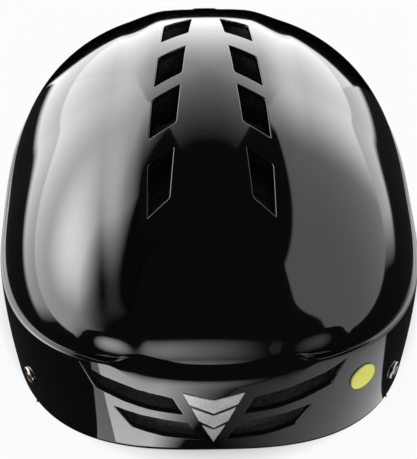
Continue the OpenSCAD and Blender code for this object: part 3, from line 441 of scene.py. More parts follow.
shellLook = {
    "around": 400, "beltRows": 20, "ledgeRows": 8, "domeRows": 104, "wall": 2.6, "lip": 0.7, "lipSteps": 5,
    "rimLip": 1.3, "rimSteps": 9, "inside": 9.0, "insideLean": 0.3, "cornerRadius": 1.9, "slotCorner": 1.3,
    "cornerShare": 0.42,  # the most of an edge that one rounded corner takes
    "rimBand": 2.5, "rimReach": 90,  # an open edge this near the rim's height and this far out is the rim's
}
openings = {
    "vents": [(57, 20), (21, 23.5), (-12.5, 24.5), (-52, 25)],  # front edge and length of each diamond
    "ventSkew": 7.4, "ventRim": 12.5, "ventInner": 13, "ventSpread": 0.094,
    "intake": [(6, 100), (20, 107.4), (20, 90.4), (6, 83)],
    "rearSlots": [[(20, 40), (41.5, 46.5), (53.5, 50), (63.5, 55), (57, 41.7), (43.6, 36), (28.6, 31.5),
                   (15.2, 29)],
                  [(12.5, 21.7), (31.5, 26.2), (48, 30), (40, 17.5), (24.4, 12), (6.9, 9.2)]],
    "browSlots": [[(14, 38), (34, 42), (50, 47), (44, 38), (28, 33), (10, 30)]],
}


def roundOutline(corners, radius, grow, perEdge=5, perCorner=6):  # grown outwards, then with rounded corners
    p = np.array(corners, float)
    share = shellLook["cornerShare"]
    area = np.sum(p[:, 0] * np.roll(p[:, 1], -1) - np.roll(p[:, 0], -1) * p[:, 1])
    if area < 0:
        p = p[::-1]
    go = np.roll(p, -1, 0) - p
    size = np.linalg.norm(go, axis=1, keepdims=True)
    go = go / size
    side = np.stack([go[:, 1], -go[:, 0]], -1)
    before = np.roll(side, 1, 0)
    p = p + (side + before) / (1 + np.sum(side * before, 1, keepdims=True)) * grow
    out = []
    for i in range(len(p)):
        reach = min(radius, share * float(size[i - 1, 0]), share * float(size[i, 0]))
        start, end = p[i] - go[i - 1] * reach, p[i] + go[i] * reach
        for k in range(perCorner):
            f = k / (perCorner - 1)
            out.append(start * (1 - f) ** 2 + p[i] * 2 * f * (1 - f) + end * f * f)
        j = (i + 1) % len(p)
        last = p[j] - go[i] * min(radius, share * float(size[i, 0]), share * float(size[j, 0]))
        out += [end + (last - end) * k / perEdge for k in range(1, perEdge)]
    return np.array(out)


def rimStart(t):  # the belt's lowest row as v
    rim = rimHeight(t)
    return shellLook["rimLip"] / (beltTop(t) - rim)


def toDisc(t, v):
    start = rimStart(t)
    v = np.where(v < 1, (v - start) / (1 - start), v)
    return np.stack([(3 - v) * np.cos(t), (3 - v) * np.sin(t)], -1)


def fromDisc(p):
    t, v = np.arctan2(p[:, 1], p[:, 0]), 3 - np.hypot(p[:, 0], p[:, 1])
    start = rimStart(t)
    return t, np.where(v < 1, start + (1 - start) * v, v)


def ventCorners(front, length):  # one diamond, seen from above
    skewed, back = front - openings["ventSkew"], front - length
    inner = [openings["ventInner"] - openings["ventSpread"] * y for y in (front, back)]
    outer = [panelHalf(y) - openings["ventRim"] for y in (skewed, skewed - length)]
    return [(inner[0], front), (outer[0], skewed), (outer[1], skewed - length), (inner[1], back)]


def ventOutlines():  # the right side's openings and then their mirror images, on the flat disc
    found = [ventCorners(*place) for place in openings["vents"]] + [openings["intake"]]
    flat = [roundOutline(c, shellLook["cornerRadius"], shellLook["lip"]) for c in found]
    discs = [toDisc(*findOnDome(o[:, 0], o[:, 1])) for o in flat]
    groups = [discs]
    for rear, key in ((True, "rearSlots"), (False, "browSlots")):
        flat = [roundOutline(c, shellLook["slotCorner"], shellLook["lip"], 3, 5) for c in openings[key]]
        groups.append([toDisc(*findOnBelt(o[:, 0], o[:, 1], rear)) for o in flat])
    return groups + [[d[::-1] * (-1, 1) for d in discs] for discs in groups]


def insideOutline(outline, x, y):
    a, b = outline, np.roll(outline, -1, 0)
    crosses = (a[:, 1] > y) != (b[:, 1] > y)
    at = a[:, 0] + (y - a[:, 1]) * (b[:, 0] - a[:, 0]) / np.where(crosses, b[:, 1] - a[:, 1], 1)
    return np.sum(crosses & (x < at), -1) % 2 == 1


def meets(face, x0, y0, x1, y1):
    xs, ys = [v.co.x for v in face.verts], [v.co.y for v in face.verts]
    return min(xs) <= x1 and max(xs) >= x0 and min(ys) <= y1 and max(ys) >= y0


def once(items):  # each item once, in order
    return list(dict.fromkeys(items))


def cutGroup(bm, outlines):  # neighbouring openings, cut in a small copy of the faces round them
    margin = 0.05
    low = np.min([o.min(0) for o in outlines], 0) - margin
    high = np.max([o.max(0) for o in outlines], 0) + margin
    inBox = [v for v in bm.verts if low[0] < v.co.x < high[0] and low[1] < v.co.y < high[1]]
    local = once(f for v in inBox for f in v.link_faces)
    small, twin = bmesh.new(), {}
    for face in local:
        for v in face.verts:
            if v not in twin:
                twin[v] = small.verts.new(v.co)
        small.faces.new([twin[v] for v in face.verts])
    bmesh.ops.delete(bm, geom=local, context="FACES")
    for outline in outlines:
        near = [f for f in small.faces if meets(f, *outline.min(0), *outline.max(0))]
        for a, b in zip(outline, np.roll(outline, -1, 0)):
            box = (min(a[0], b[0]), min(a[1], b[1]), max(a[0], b[0]), max(a[1], b[1]))
            touched = once(part for f in near if meets(f, *box) for part in (f, *f.edges, *f.verts))
            cut = bmesh.ops.bisect_plane(small, geom=touched, dist=1e-6, plane_co=(a[0], a[1], 0),
                                         plane_no=(a[1] - b[1], b[0] - a[0], 0))["geom_cut"]
            fresh = [f for g in cut if g.is_valid for f in g.link_faces]
            near = once([f for f in near if f.is_valid] + fresh)
    faces = list(small.faces)
    centres = np.array([f.calc_center_median()[:2] for f in faces])
    within = np.any([insideOutline(outline, centres[:, :1], centres[:, 1:]) for outline in outlines], 0)
    gone = [f for f, inside in zip(faces, within) if inside]
    bmesh.ops.delete(small, geom=gone, context="FACES")
    mesh = bpy.data.meshes.new("cutPart")
    small.to_mesh(mesh)
    small.free()
    bm.from_mesh(mesh)
    bpy.data.meshes.remove(mesh)


def discBody(look):  # flat disc with the crown at its middle
    bm = bmesh.new()
    rows = np.concatenate([np.linspace(0, 1, look["beltRows"], endpoint=False),
                           np.linspace(1, 2, look["ledgeRows"], endpoint=False),
                           np.linspace(2, 3, look["domeRows"])])
    chain = [bm.verts.new((3 - v, 0, 0)) for v in rows]
    for a, b in zip(chain, chain[1:]):
        bm.edges.new((a, b))
    bmesh.ops.spin(bm, geom=bm.verts[:] + bm.edges[:], cent=(0, 0, 0), axis=(0, 0, 1), angle=2 * math.pi,
                   steps=look["around"], use_merge=True)
    bmesh.ops.remove_doubles(bm, verts=[v for v in bm.verts if v.co.length < 1e-4], dist=1e-4)
    return bm


def lipRings(bm, ring, facing, inward, steps, radius, turn):  # rolls an open edge over and down
    base = {v: (v.co.copy(), v[facing].copy(), inward[v]) for e in ring for v in e.verts}
    for a in np.linspace(0, turn, steps + 1)[1:]:
        made = bmesh.ops.extrude_edge_only(bm, edges=ring)["geom"]
        moved = {}
        for v in (g for g in made if isinstance(g, bmesh.types.BMVert)):
            old = next(o for e in v.link_edges for o in [e.other_vert(v)] if o in base)
            p, n, d = base[old]
            v.co = p + (n * (math.cos(a) - 1) + d * math.sin(a)) * radius
            v[facing] = n * math.cos(a) + d * math.sin(a)
            moved[v] = base[old]
        ring = [e for e in made if isinstance(e, bmesh.types.BMEdge) and all(v in moved for v in e.verts)]
        base = moved
    return ring, base


def wallRing(bm, ring, base, facing, place):  # a last row, placed by a function of each point's own frame
    made = bmesh.ops.extrude_edge_only(bm, edges=ring)["geom"]
    for v in (g for g in made if isinstance(g, bmesh.types.BMVert)):
        old = next(o for e in v.link_edges for o in [e.other_vert(v)] if o in base)
        v.co, v[facing] = place(*base[old])


def pointOut(bm):  # all faces outwards, judged by the one at the crown
    bmesh.ops.recalc_face_normals(bm, faces=bm.faces[:])
    if max(bm.faces, key=lambda f: f.calc_center_median().z).normal.z < 0:
        bmesh.ops.reverse_faces(bm, faces=bm.faces[:])


def wallWays(openEdges, facing):  # from each open edge's points, the way along the skin into the hole
    inward = {}
    for e in openEdges:
        middle = (e.verts[0].co + e.verts[1].co) / 2
        away = middle - e.link_faces[0].calc_center_median()
        for vert in e.verts:
            n = vert[facing]
            d = (e.verts[1].co - e.verts[0].co).cross(n)
            inward[vert] = inward.get(vert, Vector()) + (d if d.dot(away) > 0 else -d)
    for vert in inward:
        n = vert[facing]
        inward[vert] = (inward[vert] - n * inward[vert].dot(n)).normalized()
    return inward


def onRim(vert):
    x, y, z = vert.co
    low = abs(z - rimHeight(math.atan2(y, x))) < shellLook["rimBand"]
    return low and math.hypot(x, y) > shellLook["rimReach"]


def makeShell():
    look = shellLook
    bm = discBody(look)
    for outlines in ventOutlines():
        cutGroup(bm, outlines)
    bmesh.ops.remove_doubles(bm, verts=[v for v in bm.verts if v.is_boundary], dist=1e-6)
    flat = np.array([v.co[:2] for v in bm.verts])
    t, v = fromDisc(flat)
    places, facings = skinPoint(t, v), skinNormal(t, v)
    facing = bm.verts.layers.float_vector.new("facing")
    for vert, p, n in zip(bm.verts, places, facings):
        vert.co, vert[facing] = p, n
    pointOut(bm)
    openEdges = [e for e in bm.edges if len(e.link_faces) == 1]
    inward = wallWays(openEdges, facing)
    rim = [e for e in openEdges if all(onRim(vert) for vert in e.verts)]
    rest = [e for e in openEdges if not all(onRim(vert) for vert in e.verts)]
    ring, base = lipRings(bm, rest, facing, inward, look["lipSteps"], look["lip"], math.pi / 2)
    wallRing(bm, ring, base, facing, lambda p, n, d: (p + d * look["lip"] - n * look["wall"], d))
    ring, base = lipRings(bm, rim, facing, inward, look["rimSteps"], look["rimLip"], math.pi)
    deep = 2 * look["rimLip"] - look["insideLean"]
    wallRing(bm, ring, base, facing, lambda p, n, d: (p - n * deep - d * look["inside"], -n))
    pointOut(bm)
    bmesh.ops.scale(bm, vec=(mm, mm, mm), verts=bm.verts[:])
    normals = [vert[facing].normalized() for vert in bm.verts]
    for face in bm.faces:
        face.smooth = True
    shell = newObject("shellSkin", bm, finishes["gloss_black_shell"])
    shell.data.normals_split_custom_set_from_vertices(normals)
    settle(shell, "outer_shell")


makeShell()
print("shell made")


def beltFrame(t, z):  # place, outward normal and the way up the belt, in millimetres
    p = beltPoint(np.array(t), z)
    a = beltPoint(np.array(t + 1e-3), z) - beltPoint(np.array(t - 1e-3), z)
    b = beltPoint(np.array(t), z + 0.1) - beltPoint(np.array(t), z - 0.1)
    n = Vector(np.cross(a, b)).normalized()
    up = (Vector((0, 0, 1)) - n * n.z).normalized()
    return Vector(p), n, up


reflectors = {
    "thick": 0.5, "under": 0.02, "edge": 0.3,
    # half width, corner height and dip of the upper edge, then the same of the lower edge
    "chevrons": {"chevron_top": (15, 44, 38.7, 12, 36.4, 29.4),
                 "chevron_middle": (10.8, 33.9, 27.7, 7.3, 24.2, 18.6),
                 "chevron_low": (5.6, 20.8, 17.1, 2.8, 14.1, 7.5)},
    "dotTurn": math.radians(302.5), "dotHeight": 37.5, "dotRadius": 7.5,
    "rivetHeight": 19, "rivetRadius": 4.75,
    "rivetTurns": {"rear_rivets": (225, 315), "front_rivets": (148, 32)},
}


def chevronPiece(name, top, zTop, dip, low, zLow, point):  # film with a soft edge, laid on the belt
    bm = bmesh.new()
    bmesh.ops.create_grid(bm, x_segments=28, y_segments=6, size=1)
    skirt = reflectors["edge"]
    for v in bm.verts:
        s, k = v.co.x, (v.co.y + 1) / 2
        upper = Vector((top * s, dip + (zTop - dip) * abs(s)))
        lower = Vector((low * s, point + (zLow - point) * abs(s)))
        v.co = (*lower.lerp(upper, k), 0)
    border = [e for e in bm.edges if e.is_boundary]
    made = bmesh.ops.extrude_edge_only(bm, edges=border)["geom"]
    outer = [g for g in made if isinstance(g, bmesh.types.BMVert)]
    middle = Vector((0, (zTop + point) / 2, 0))
    for v in outer:
        v.co.z = -1
    for v in bm.verts:
        if v.co.z == 0 and any(e.is_boundary or any(o.co.z < 0 for o in e.verts) for e in v.link_edges):
            away = (middle - v.co).normalized()
            v.co += away * skirt
    x = np.array([v.co.x for v in bm.verts])
    z = np.array([v.co.y for v in bm.verts])
    sunk = np.array([v.co.z for v in bm.verts])
    placed = beltPoint(findOnBelt(x, z)[0], z)
    for v, p, down in zip(bm.verts, placed, sunk):
        n = Vector((p[0] / skin["halfWidth"] ** 2, p[1] / skin["halfLength"] ** 2, 0)).normalized()
        v.co = (Vector(p) + n * reflectors["under" if down < 0 else "thick"]) * mm
    bmesh.ops.recalc_face_normals(bm, faces=bm.faces[:])
    for f in bm.faces:
        if f.normal.y > 0.5:
            f.normal_flip()
    settle(newObject(name + "Film", bm, finishes["reflective_grey"]), name)


def turned(profile, steps=96):  # a body of revolution about Z, in millimetres
    bm = bmesh.new()
    chain = [bm.verts.new((r, 0, z)) for r, z in profile]
    for a, b in zip(chain, chain[1:]):
        bm.edges.new((a, b))
    bmesh.ops.spin(bm, geom=bm.verts[:] + bm.edges[:], cent=(0, 0, 0), axis=(0, 0, 1), angle=2 * math.pi,
                   steps=steps, use_merge=True)
    bmesh.ops.remove_doubles(bm, verts=bm.verts[:], dist=1e-4)
    bmesh.ops.recalc_face_normals(bm, faces=bm.faces[:])
    return bm


def standOn(bm, turn, height):
    p, n, up = beltFrame(turn, height)
    side = up.cross(n)
    matrix = Matrix((side, up, n)).transposed().to_4x4()
    matrix.translation = p
    bmesh.ops.transform(bm, matrix=Matrix.Scale(mm, 4) @ matrix, verts=bm.verts[:])


def makeDot():
    r = reflectors["dotRadius"]
    profile = [(0, 0.95), (r * 0.4, 0.93), (r * 0.75, 0.86), (r - 0.9, 0.78), (r - 0.55, 0.84),
               (r - 0.25, 0.8), (r - 0.06, 0.66), (r, 0.5), (r, 0.1), (r - 0.4, -0.6)]
    bm = turned(profile)
    standOn(bm, reflectors["dotTurn"], reflectors["dotHeight"])
    for f in bm.faces:
        f.smooth = True
    settle(newObject("roundReflector", bm, finishes["reflective_yellow"]), "round_reflector")


def makeRivets():  # flanged heads with a raised ring and a domed middle
    r = reflectors["rivetRadius"]
    head = [(0, 1.5), (1.1, 1.42), (1.9, 1.2), (2.35, 0.86), (2.5, 0.66), (2.75, 0.6), (3.05, 0.74),
            (3.4, 1.08), (3.8, 1.2), (4.2, 1.14), (r - 0.2, 0.92), (r, 0.6), (r, 0.25), (r - 0.35, 0.02)]
    shank = [(2.4, -0.1), (2.3, -4.2), (2.4, -6.9), (3.4, -7.1), (3.5, -7.5), (3.1, -7.9), (0, -8.0)]
    for node, turns in reflectors["rivetTurns"].items():
        whole = bmesh.new()
        for turn in turns:
            bm = turned(head + shank, 64)
            standOn(bm, math.radians(turn), reflectors["rivetHeight"])
            mesh = bpy.data.meshes.new("rivetPart")
            bm.to_mesh(mesh)
            bm.free()
            whole.from_mesh(mesh)
            bpy.data.meshes.remove(mesh)
        for f in whole.faces:
            f.smooth = True
        settle(newObject(node + "Heads", whole, finishes["nickel"]), node)


for name, sizes in reflectors["chevrons"].items():
    chevronPiece(name, *sizes)
makeDot()
makeRivets()
print("reflectors and rivets made")


def cadCopy(node):  # the CAD mesh of a node as a bmesh of its own, in metres
    source = frame["nodes"][node]
    bm = bmesh.new()
    bm.from_mesh(source.data)
    bm.transform(source.matrix_world)
    bmesh.ops.remove_doubles(bm, verts=bm.verts[:], dist=2e-6)
    return bm


def applied(piece):  # the mesh with its modifiers in it
    graph = bpy.context.evaluated_depsgraph_get()
    mesh = bpy.data.meshes.new_from_object(piece.evaluated_get(graph))
    piece.modifiers.clear()
    piece.data = mesh
    return piece


edges = {
    "flat": 1.0, "sharp": 32, "steps": 2, "shade": 50,
    # millimetres that the edges of each moulded piece are rounded by
    "dial_housing": 0.5, "dial_housing_cover": 0.35, "fit_dial": 0.3, "dial_pinion": 0.12,
    "cradle_yoke": 0.35, "cradle_pins": 0.3, "strap_divider_left": 0.45, "strap_divider_right": 0.45,
    "buckle_socket": 0.4, "buckle_plug": 0.4, "prong_front": 0.25, "prong_rear": 0.25,
    "strap_keeper": 0.3, "front_band": 0.4, "crown_plug": 0.25, "dial_screw": 0.1, "rivet_washers": 0.12,
}


def shaded(piece, angle):
    mesh = piece.data
    for face in mesh.polygons:
        face.use_smooth = True
    mesh.set_sharp_from_angle(angle=math.radians(angle))
    weigh = piece.modifiers.new("weigh", "WEIGHTED_NORMAL")
    weigh.keep_sharp = True
    return applied(piece)


def roundedCopy(node, width):
    bm = cadCopy(node)
    low, high = ([pick(v.co[i] for v in bm.verts) for i in range(3)] for pick in (min, max))
    flat, sharp = math.radians(edges["flat"]), math.radians(edges["sharp"])
    bmesh.ops.dissolve_limit(bm, angle_limit=flat, verts=bm.verts[:], edges=bm.edges[:])
    hard = [e for e in bm.edges if len(e.link_faces) == 2 and e.calc_face_angle(0) > sharp]
    bmesh.ops.bevel(bm, geom=hard, offset=width * mm, offset_type="OFFSET", segments=edges["steps"],
                    profile=0.5, affect="EDGES", clamp_overlap=True, material=-1)
    bmesh.ops.remove_doubles(bm, verts=bm.verts[:], dist=1e-6)
    bmesh.ops.triangulate(bm, faces=[f for f in bm.faces if len(f.verts) > 4])
    for v in bm.verts:  # a tight corner may not reach past the piece
        v.co = [min(max(c, a), b) for c, a, b in zip(v.co, low, high)]
    piece = newObject(node + "Rounded", bm, finishes[slotOf(node)])
    settle(shaded(piece, edges["shade"]), node)


def smoothCopy(node, angle):
    return shaded(newObject(node + "Smooth", cadCopy(node), finishes[slotOf(node)]), angle)


for name in [n for n in edges if n in frame["nodes"]]:
    roundedCopy(name, edges[name])
print("moulded pieces rounded")


for name, angle in (("foam_liner", 38), ("slip_liner", 60)):
    settle(smoothCopy(name, angle), name)


tethers = {"centre": (0, 0, 0.04), "angle": 45, "endShare": 6}  # a sixth of the points make out each end


def makeTethers():  # each elastic tether stretches from the foam to the bowl that turns under it
    whole = smoothCopy("slip_tethers", tethers["angle"])
    centre = Vector(tethers["centre"])
    for number, (sx, sy) in enumerate(((1, 1), (-1, 1), (-1, -1), (1, -1))):
        bm = bmesh.new()
        bm.from_mesh(whole.data)
        others = [v for v in bm.verts if v.co.x * sx < 0 or v.co.y * sy < 0]
        bmesh.ops.delete(bm, geom=others, context="VERTS")
        order = sorted((v.co.copy() for v in bm.verts), key=lambda co: (co - centre).length)
        few = max(4, len(order) // tethers["endShare"])
        near, far = (sum(part, Vector()) / few for part in (order[:few], order[-few:]))
        piece = newObject("slip_tether" + str(number + 1), bm, finishes[slotOf("slip_tethers")])
        for face in piece.data.polygons:
            face.use_smooth = True
        piece.data.set_sharp_from_angle(angle=math.radians(tethers["angle"]))
        span(piece, "slip_tethers", bodyOf("slip_liner"), tuple(far), tuple(near))
    bpy.data.objects.remove(whole)


makeTethers()
print("liners made")


bands = {  # two places on each band, in metres: by the temple and by the rack
    "fit_band_right": ((0.074, -0.02, 0.022), (0.036, -0.098, 0.022)),
    "fit_band_left": ((-0.074, -0.02, 0.022), (-0.036, -0.098, 0.022)),
}
for name, (still, moving) in bands.items():
    span(smoothCopy(name, 30), name, bodyOf(name), still, moving)
print("fit bands made")


web = {
    "width": 15.0, "thick": 1.2, "shellWall": 2.6, "shellGap": 2.2, "tuckIn": 4.0, "floor": 1.7,
    "ground": 0.25, "divider": (-56.0, -12.0, 5.0), "dividerReach": 10.0, "mouthDeep": 4.0,
    "rivetHeight": 19.0, "aboveRivet": 8.0, "overRim": 7.5, "leaveRim": 6.0,
    "cavity": (164.0, 206.0, 2.5), "spacing": 1.6, "chinSpacing": 1.0,
    "barLeft": -41.9, "barRight": -10.9, "loopRadius": 2.7, "endRight": 49.6, "tail": 19.0,
    # in metres: two places on the right chin strap
    "sewn": (0.0095, -0.012, 0.005), "loop": (-0.0075, -0.012, 0.005),
    # half of the upper side, from the woven edge to the middle
    "section": [(7.5, 0.0), (7.42, 0.3), (7.2, 0.52), (6.9, 0.64), (6.2, 0.6), (3.1, 0.58), (0.0, 0.58)],
    "turns": {"rear": 225.0, "front": 148.0},
}
upperSide = web["section"] + [(-x, z) for x, z in web["section"][-2::-1]]
outlineOfWeb = upperSide + [(x, -z) for x, z in upperSide[-2:0:-1]]


def unit(v):
    return v / np.linalg.norm(v)


def alongCurve(points, others, spacing):  # Catmull-Rom through the points, evenly spaced
    p, w = np.array(points, float), np.array(others, float)
    p = np.vstack([2 * p[0] - p[1], p, 2 * p[-1] - p[-2]])
    w = np.vstack([w[0], w, w[-1]])
    fine, tilted = [], []
    for i in range(1, len(p) - 2):
        for u in np.linspace(0, 1, 13)[:-1]:
            for store, k in ((fine, p), (tilted, w)):
                a, b, c, d = k[i - 1], k[i], k[i + 1], k[i + 2]
                store.append(0.5 * (2 * b + (c - a) * u + (2 * a - 5 * b + 4 * c - d) * u * u
                                    + (3 * b - a - 3 * c + d) * u ** 3))
    fine, tilted = np.array(fine + [p[-2]]), np.array(tilted + [w[-2]])
    reach = np.concatenate([[0], np.cumsum(np.linalg.norm(np.diff(fine, axis=0), axis=1))])
    stops = np.linspace(0, reach[-1], max(3, int(reach[-1] / spacing)))
    even = [np.stack([np.interp(stops, reach, k[:, c]) for c in range(3)], -1) for k in (fine, tilted)]
    return even[0], even[1], stops


def ribbonMesh(bm, points, across, spacing):  # webbing along a line, its map in millimetres
    p, w, reach = alongCurve(points, across, spacing)
    layer = bm.loops.layers.uv.get("weave") or bm.loops.layers.uv.new("weave")
    rings = []
    for i in range(len(p)):
        way = unit(p[min(i + 1, len(p) - 1)] - p[max(i - 1, 0)])
        side = unit(w[i] - (w[i] @ way) * way)
        up = np.cross(way, side)
        spots = [p[i] + side * a + up * b for a, b in outlineOfWeb]
        rings.append([bm.verts.new((q[0] * mm, q[1] * mm, max(q[2], web["ground"]) * mm)) for q in spots])
    count = len(outlineOfWeb)
    steps = [math.dist(a, b) for a, b in zip(outlineOfWeb, outlineOfWeb[1:] + outlineOfWeb[:1])]
    around = np.concatenate([[0], np.cumsum(steps)])
    for i in range(len(p) - 1):
        near, far = rings[i], rings[i + 1]
        for k in range(count):
            j = (k + 1) % count
            face = bm.faces.new((near[k], near[j], far[j], far[k]))
            face.smooth = True
            places = ((i, k), (i, k + 1), (i + 1, k + 1), (i + 1, k))
            for loop, (a, b) in zip(face.loops, places):
                loop[layer].uv = (reach[a], around[b])
    for ring in (rings[0][::-1], rings[-1]):
        bm.faces.new(ring)
    return reach[-1]


def bezier(a, b, c, d, u):
    return a * (1 - u) ** 3 + b * 3 * u * (1 - u) ** 2 + c * 3 * u * u * (1 - u) + d * u ** 3


def sideStrap(rivetTurn):  # from a rivet on the left down, under the foam and in to the divider
    t = math.radians(rivetTurn)
    n = beltFrame(t, web["rivetHeight"])[1]
    inward = -unit(np.array((n.x, n.y, 0.0)))
    deep = web["shellWall"] + web["shellGap"] + web["thick"] / 2

    def behindShell(z, more=0.0):
        return beltPoint(np.array(t), z) + inward * (deep + more)

    centre = np.array(web["divider"])
    leave = behindShell(web["leaveRim"], web["tuckIn"])
    leave[2] = web["floor"]
    way = unit((centre - leave) * (1, 1, 0))
    long, wide = web["cavity"][1] / 2, web["cavity"][0] / 2
    reach = np.hypot(*leave[:2])
    bowl = planRadius(np.arctan2(leave[1], leave[0]), wide, long, web["cavity"][2])
    flat = (reach - bowl) * reach / -(way[:2] @ leave[:2]) + web["width"]
    over, lift = behindShell(web["overRim"]), leave + way * flat
    far = centre - way * (web["dividerReach"] - web["mouthDeep"] + 0.4)
    end = centre - way * (web["dividerReach"] + 3)
    down = (over, over + inward * 0.6 - (0, 0, 3), leave - inward * 2.3, leave)
    down = [bezier(*down, k / 5) for k in range(6)]
    rise = (lift, lift + way * 7 + (0, 0, 1), end - way * 9 + (0, 0, 7), end)
    rise = [bezier(*rise, k / 9) for k in range(1, 10)]
    top = [behindShell(web["rivetHeight"] + more) for more in (web["aboveRivet"], 0.0)]
    line = [*top, *down, lift, *rise, far]
    side, sideEnd = np.array((inward[1], -inward[0], 0)), np.array((way[1], -way[0], 0))
    blendIn = [float(soften((i - 2) / 5)) for i in range(len(line))]
    return line, [side * (1 - f) + sideEnd * f for f in blendIn]


webLengths = {}
for place, turn in web["turns"].items():
    line, across = sideStrap(turn)
    for side, flip in (("left", (1, 1, 1)), ("right", (-1, 1, 1))):
        name = "strap_" + place + "_" + side
        bm = bmesh.new()
        points, sides = [q * flip for q in line], [q * flip for q in across]
        webLengths[name] = ribbonMesh(bm, points, sides, web["spacing"])
        bmesh.ops.recalc_face_normals(bm, faces=bm.faces[:])
        settle(newObject(name + "Web", bm, finishes["webbing"]), name)


def loopLine(bar, sense):  # round a buckle bar, from above it to below
    r = web["loopRadius"] + web["thick"] / 2
    y, z = web["divider"][1:]
    turns = np.linspace(0, math.pi, 13)
    return [np.array((bar + sense * r * math.sin(a), y, z + r * math.cos(a))) for a in turns]


def alongChin(bar, sense, places):  # points off the bar, by how far along and how high
    y, z = web["divider"][1:]
    return [np.array((bar - sense * d, y, z + h)) for d, h in places]


def longChinLines(bar, end):  # a folded loop round the bar, its tail sewn under the run to the divider
    sense = 1 if end < bar else -1
    run = [(abs(end - bar), 0), (30, 0), (17, 0), (12, 0.1), (7, 1.1), (3.2, 2.7)]
    tail = [(3.2, -2.7), (7, -1.8), (11, -1.25), (15, -1.2), (web["tail"], -1.2)]
    return [alongChin(bar, sense, run) + loopLine(bar, sense) + alongChin(bar, sense, tail)]


def shortChinLines(bar, end):  # a short run to the divider, and a loop round the bar
    sense = 1 if end < bar else -1
    run = [(abs(end - bar), 0), (web["loopRadius"] + 0.5, 0)]
    return [alongChin(bar, sense, run), loopLine(bar, sense) + loopLine(bar, -sense)[::-1][1:-1]]


def chinStrap(name, lines):
    bm = bmesh.new()
    side = np.array((0.0, 1.0, 0.0))
    webLengths[name] = sum(ribbonMesh(bm, line, [side] * len(line), web["chinSpacing"]) for line in lines)
    bmesh.ops.recalc_face_normals(bm, faces=bm.faces[:])
    return newObject(name + "Web", bm, finishes["webbing"])


leftStrap = chinStrap("chin_strap_left", shortChinLines(web["barLeft"], -web["endRight"]))
settle(leftStrap, "chin_strap_left")
rightStrap = chinStrap("chin_strap_right", longChinLines(web["barRight"], web["endRight"]))
span(rightStrap, "chin_strap_right", bodyOf("buckle_plug"), web["sewn"], web["loop"])
print("webbing made", {k: round(v, 1) for k, v in webLengths.items()})


padCloth = {
    "voxel": 1.5, "smoothing": 3, "shrink": 0.45, "cap": 0.9, "pressure": 60.0, "mass": 0.002, "frames": 20,
    "stretch": 2.0, "shear": 1.0, "bend": 0.05, "groove": 0.75, "grooveHalf": 1.4, "crownMiddle": 40,
}
pads = {  # how tight, what the channels are measured along, where they are sewn, and what the back faces
    "brow_pad": (0.6, "turn", (-48, -16, 16, 48), "wall"),
    "side_pad_left": (0.6, "turn", (0,), "wall"),
    "side_pad_right": (0.6, "turn", (0,), "wall"),
    "crown_pad_left": (0.55, "y", (-24, 0, 24), "crown"),
    "crown_pad_right": (0.55, "y", (-24, 0, 24), "crown"),
    "nape_pad": (0.6, "x", (-10, 10), "rear"),
    "chin_pad": (0.7, "x", (-7.5, 7.5), "none"),
}


def placeAlong(measure, p, middle):  # millimetres along the pad from its middle
    if measure == "turn":
        a = np.arctan2(p[:, 1], p[:, 0]) - math.atan2(middle[1], middle[0])
        a = (a + math.pi) % (2 * math.pi) - math.pi
        return a * np.hypot(p[:, 0], p[:, 1])
    axis = "xy".index(measure)
    return p[:, axis] - middle[axis]


def backWay(kind, p):  # at each point, the way to what the pad is stuck to
    if kind == "none":
        return np.zeros_like(p)
    if kind == "rear":
        return np.tile((0.0, -1.0, 0.0), (len(p), 1))
    away = p * (1, 1, 0) if kind == "wall" else p - (0, 0, padCloth["crownMiddle"])
    return away / np.linalg.norm(away, axis=1, keepdims=True)


def meshArrays(mesh):
    co, no = np.empty(len(mesh.vertices) * 3), np.empty(len(mesh.vertices) * 3)
    mesh.vertices.foreach_get("co", co)
    mesh.vertices.foreach_get("normal", no)
    return co.reshape(-1, 3) / mm, no.reshape(-1, 3)


def putBack(mesh, co):
    mesh.vertices.foreach_set("co", (co * mm).ravel())
    mesh.update()


def padBlank(node):  # the CAD pad as an even mesh with soft corners
    bm = cadCopy(node)
    if node == "chin_pad":  # without the slot that the strap runs through
        hull = bmesh.ops.convex_hull(bm, input=bm.verts[:])
        outside = {g for g in hull["geom"] if isinstance(g, bmesh.types.BMFace)}
        bmesh.ops.delete(bm, geom=[f for f in bm.faces if f not in outside], context="FACES")
        bmesh.ops.delete(bm, geom=[v for v in bm.verts if not v.link_faces], context="VERTS")
    piece = newObject(node + "Soft", bm, finishes["pad_fabric"])
    remesh = piece.modifiers.new("remesh", "REMESH")
    remesh.mode, remesh.voxel_size = "VOXEL", padCloth["voxel"] * mm
    applied(piece)
    bm = bmesh.new()
    bm.from_mesh(piece.data)
    for step in range(padCloth["smoothing"]):
        bmesh.ops.smooth_vert(bm, verts=bm.verts[:], factor=0.5,
                              use_axis_x=True, use_axis_y=True, use_axis_z=True)
    bm.to_mesh(piece.data)
    bm.free()
    return piece


def inflate(piece, held):  # a short cloth run with pressure inside, the back and the channels held
    group = piece.vertex_groups.new(name="held")
    for i, amount in enumerate(held):
        if amount > 0.01:
            group.add([i], float(amount), "REPLACE")
    cloth = piece.modifiers.new("cloth", "CLOTH")
    fabric = cloth.settings
    fabric.mass = padCloth["mass"]
    fabric.vertex_group_mass = "held"
    fabric.use_pressure = True
    fabric.uniform_pressure_force = padCloth["pressure"]
    fabric.tension_stiffness = fabric.compression_stiffness = padCloth["stretch"]
    fabric.shear_stiffness, fabric.bending_stiffness = padCloth["shear"], padCloth["bend"]
    fabric.effector_weights.gravity = 0
    cloth.point_cache.frame_start, cloth.point_cache.frame_end = 1, padCloth["frames"]
    for number in range(1, padCloth["frames"] + 1):
        scene.frame_set(number)
    applied(piece)
    piece.vertex_groups.clear()
    scene.frame_set(1)


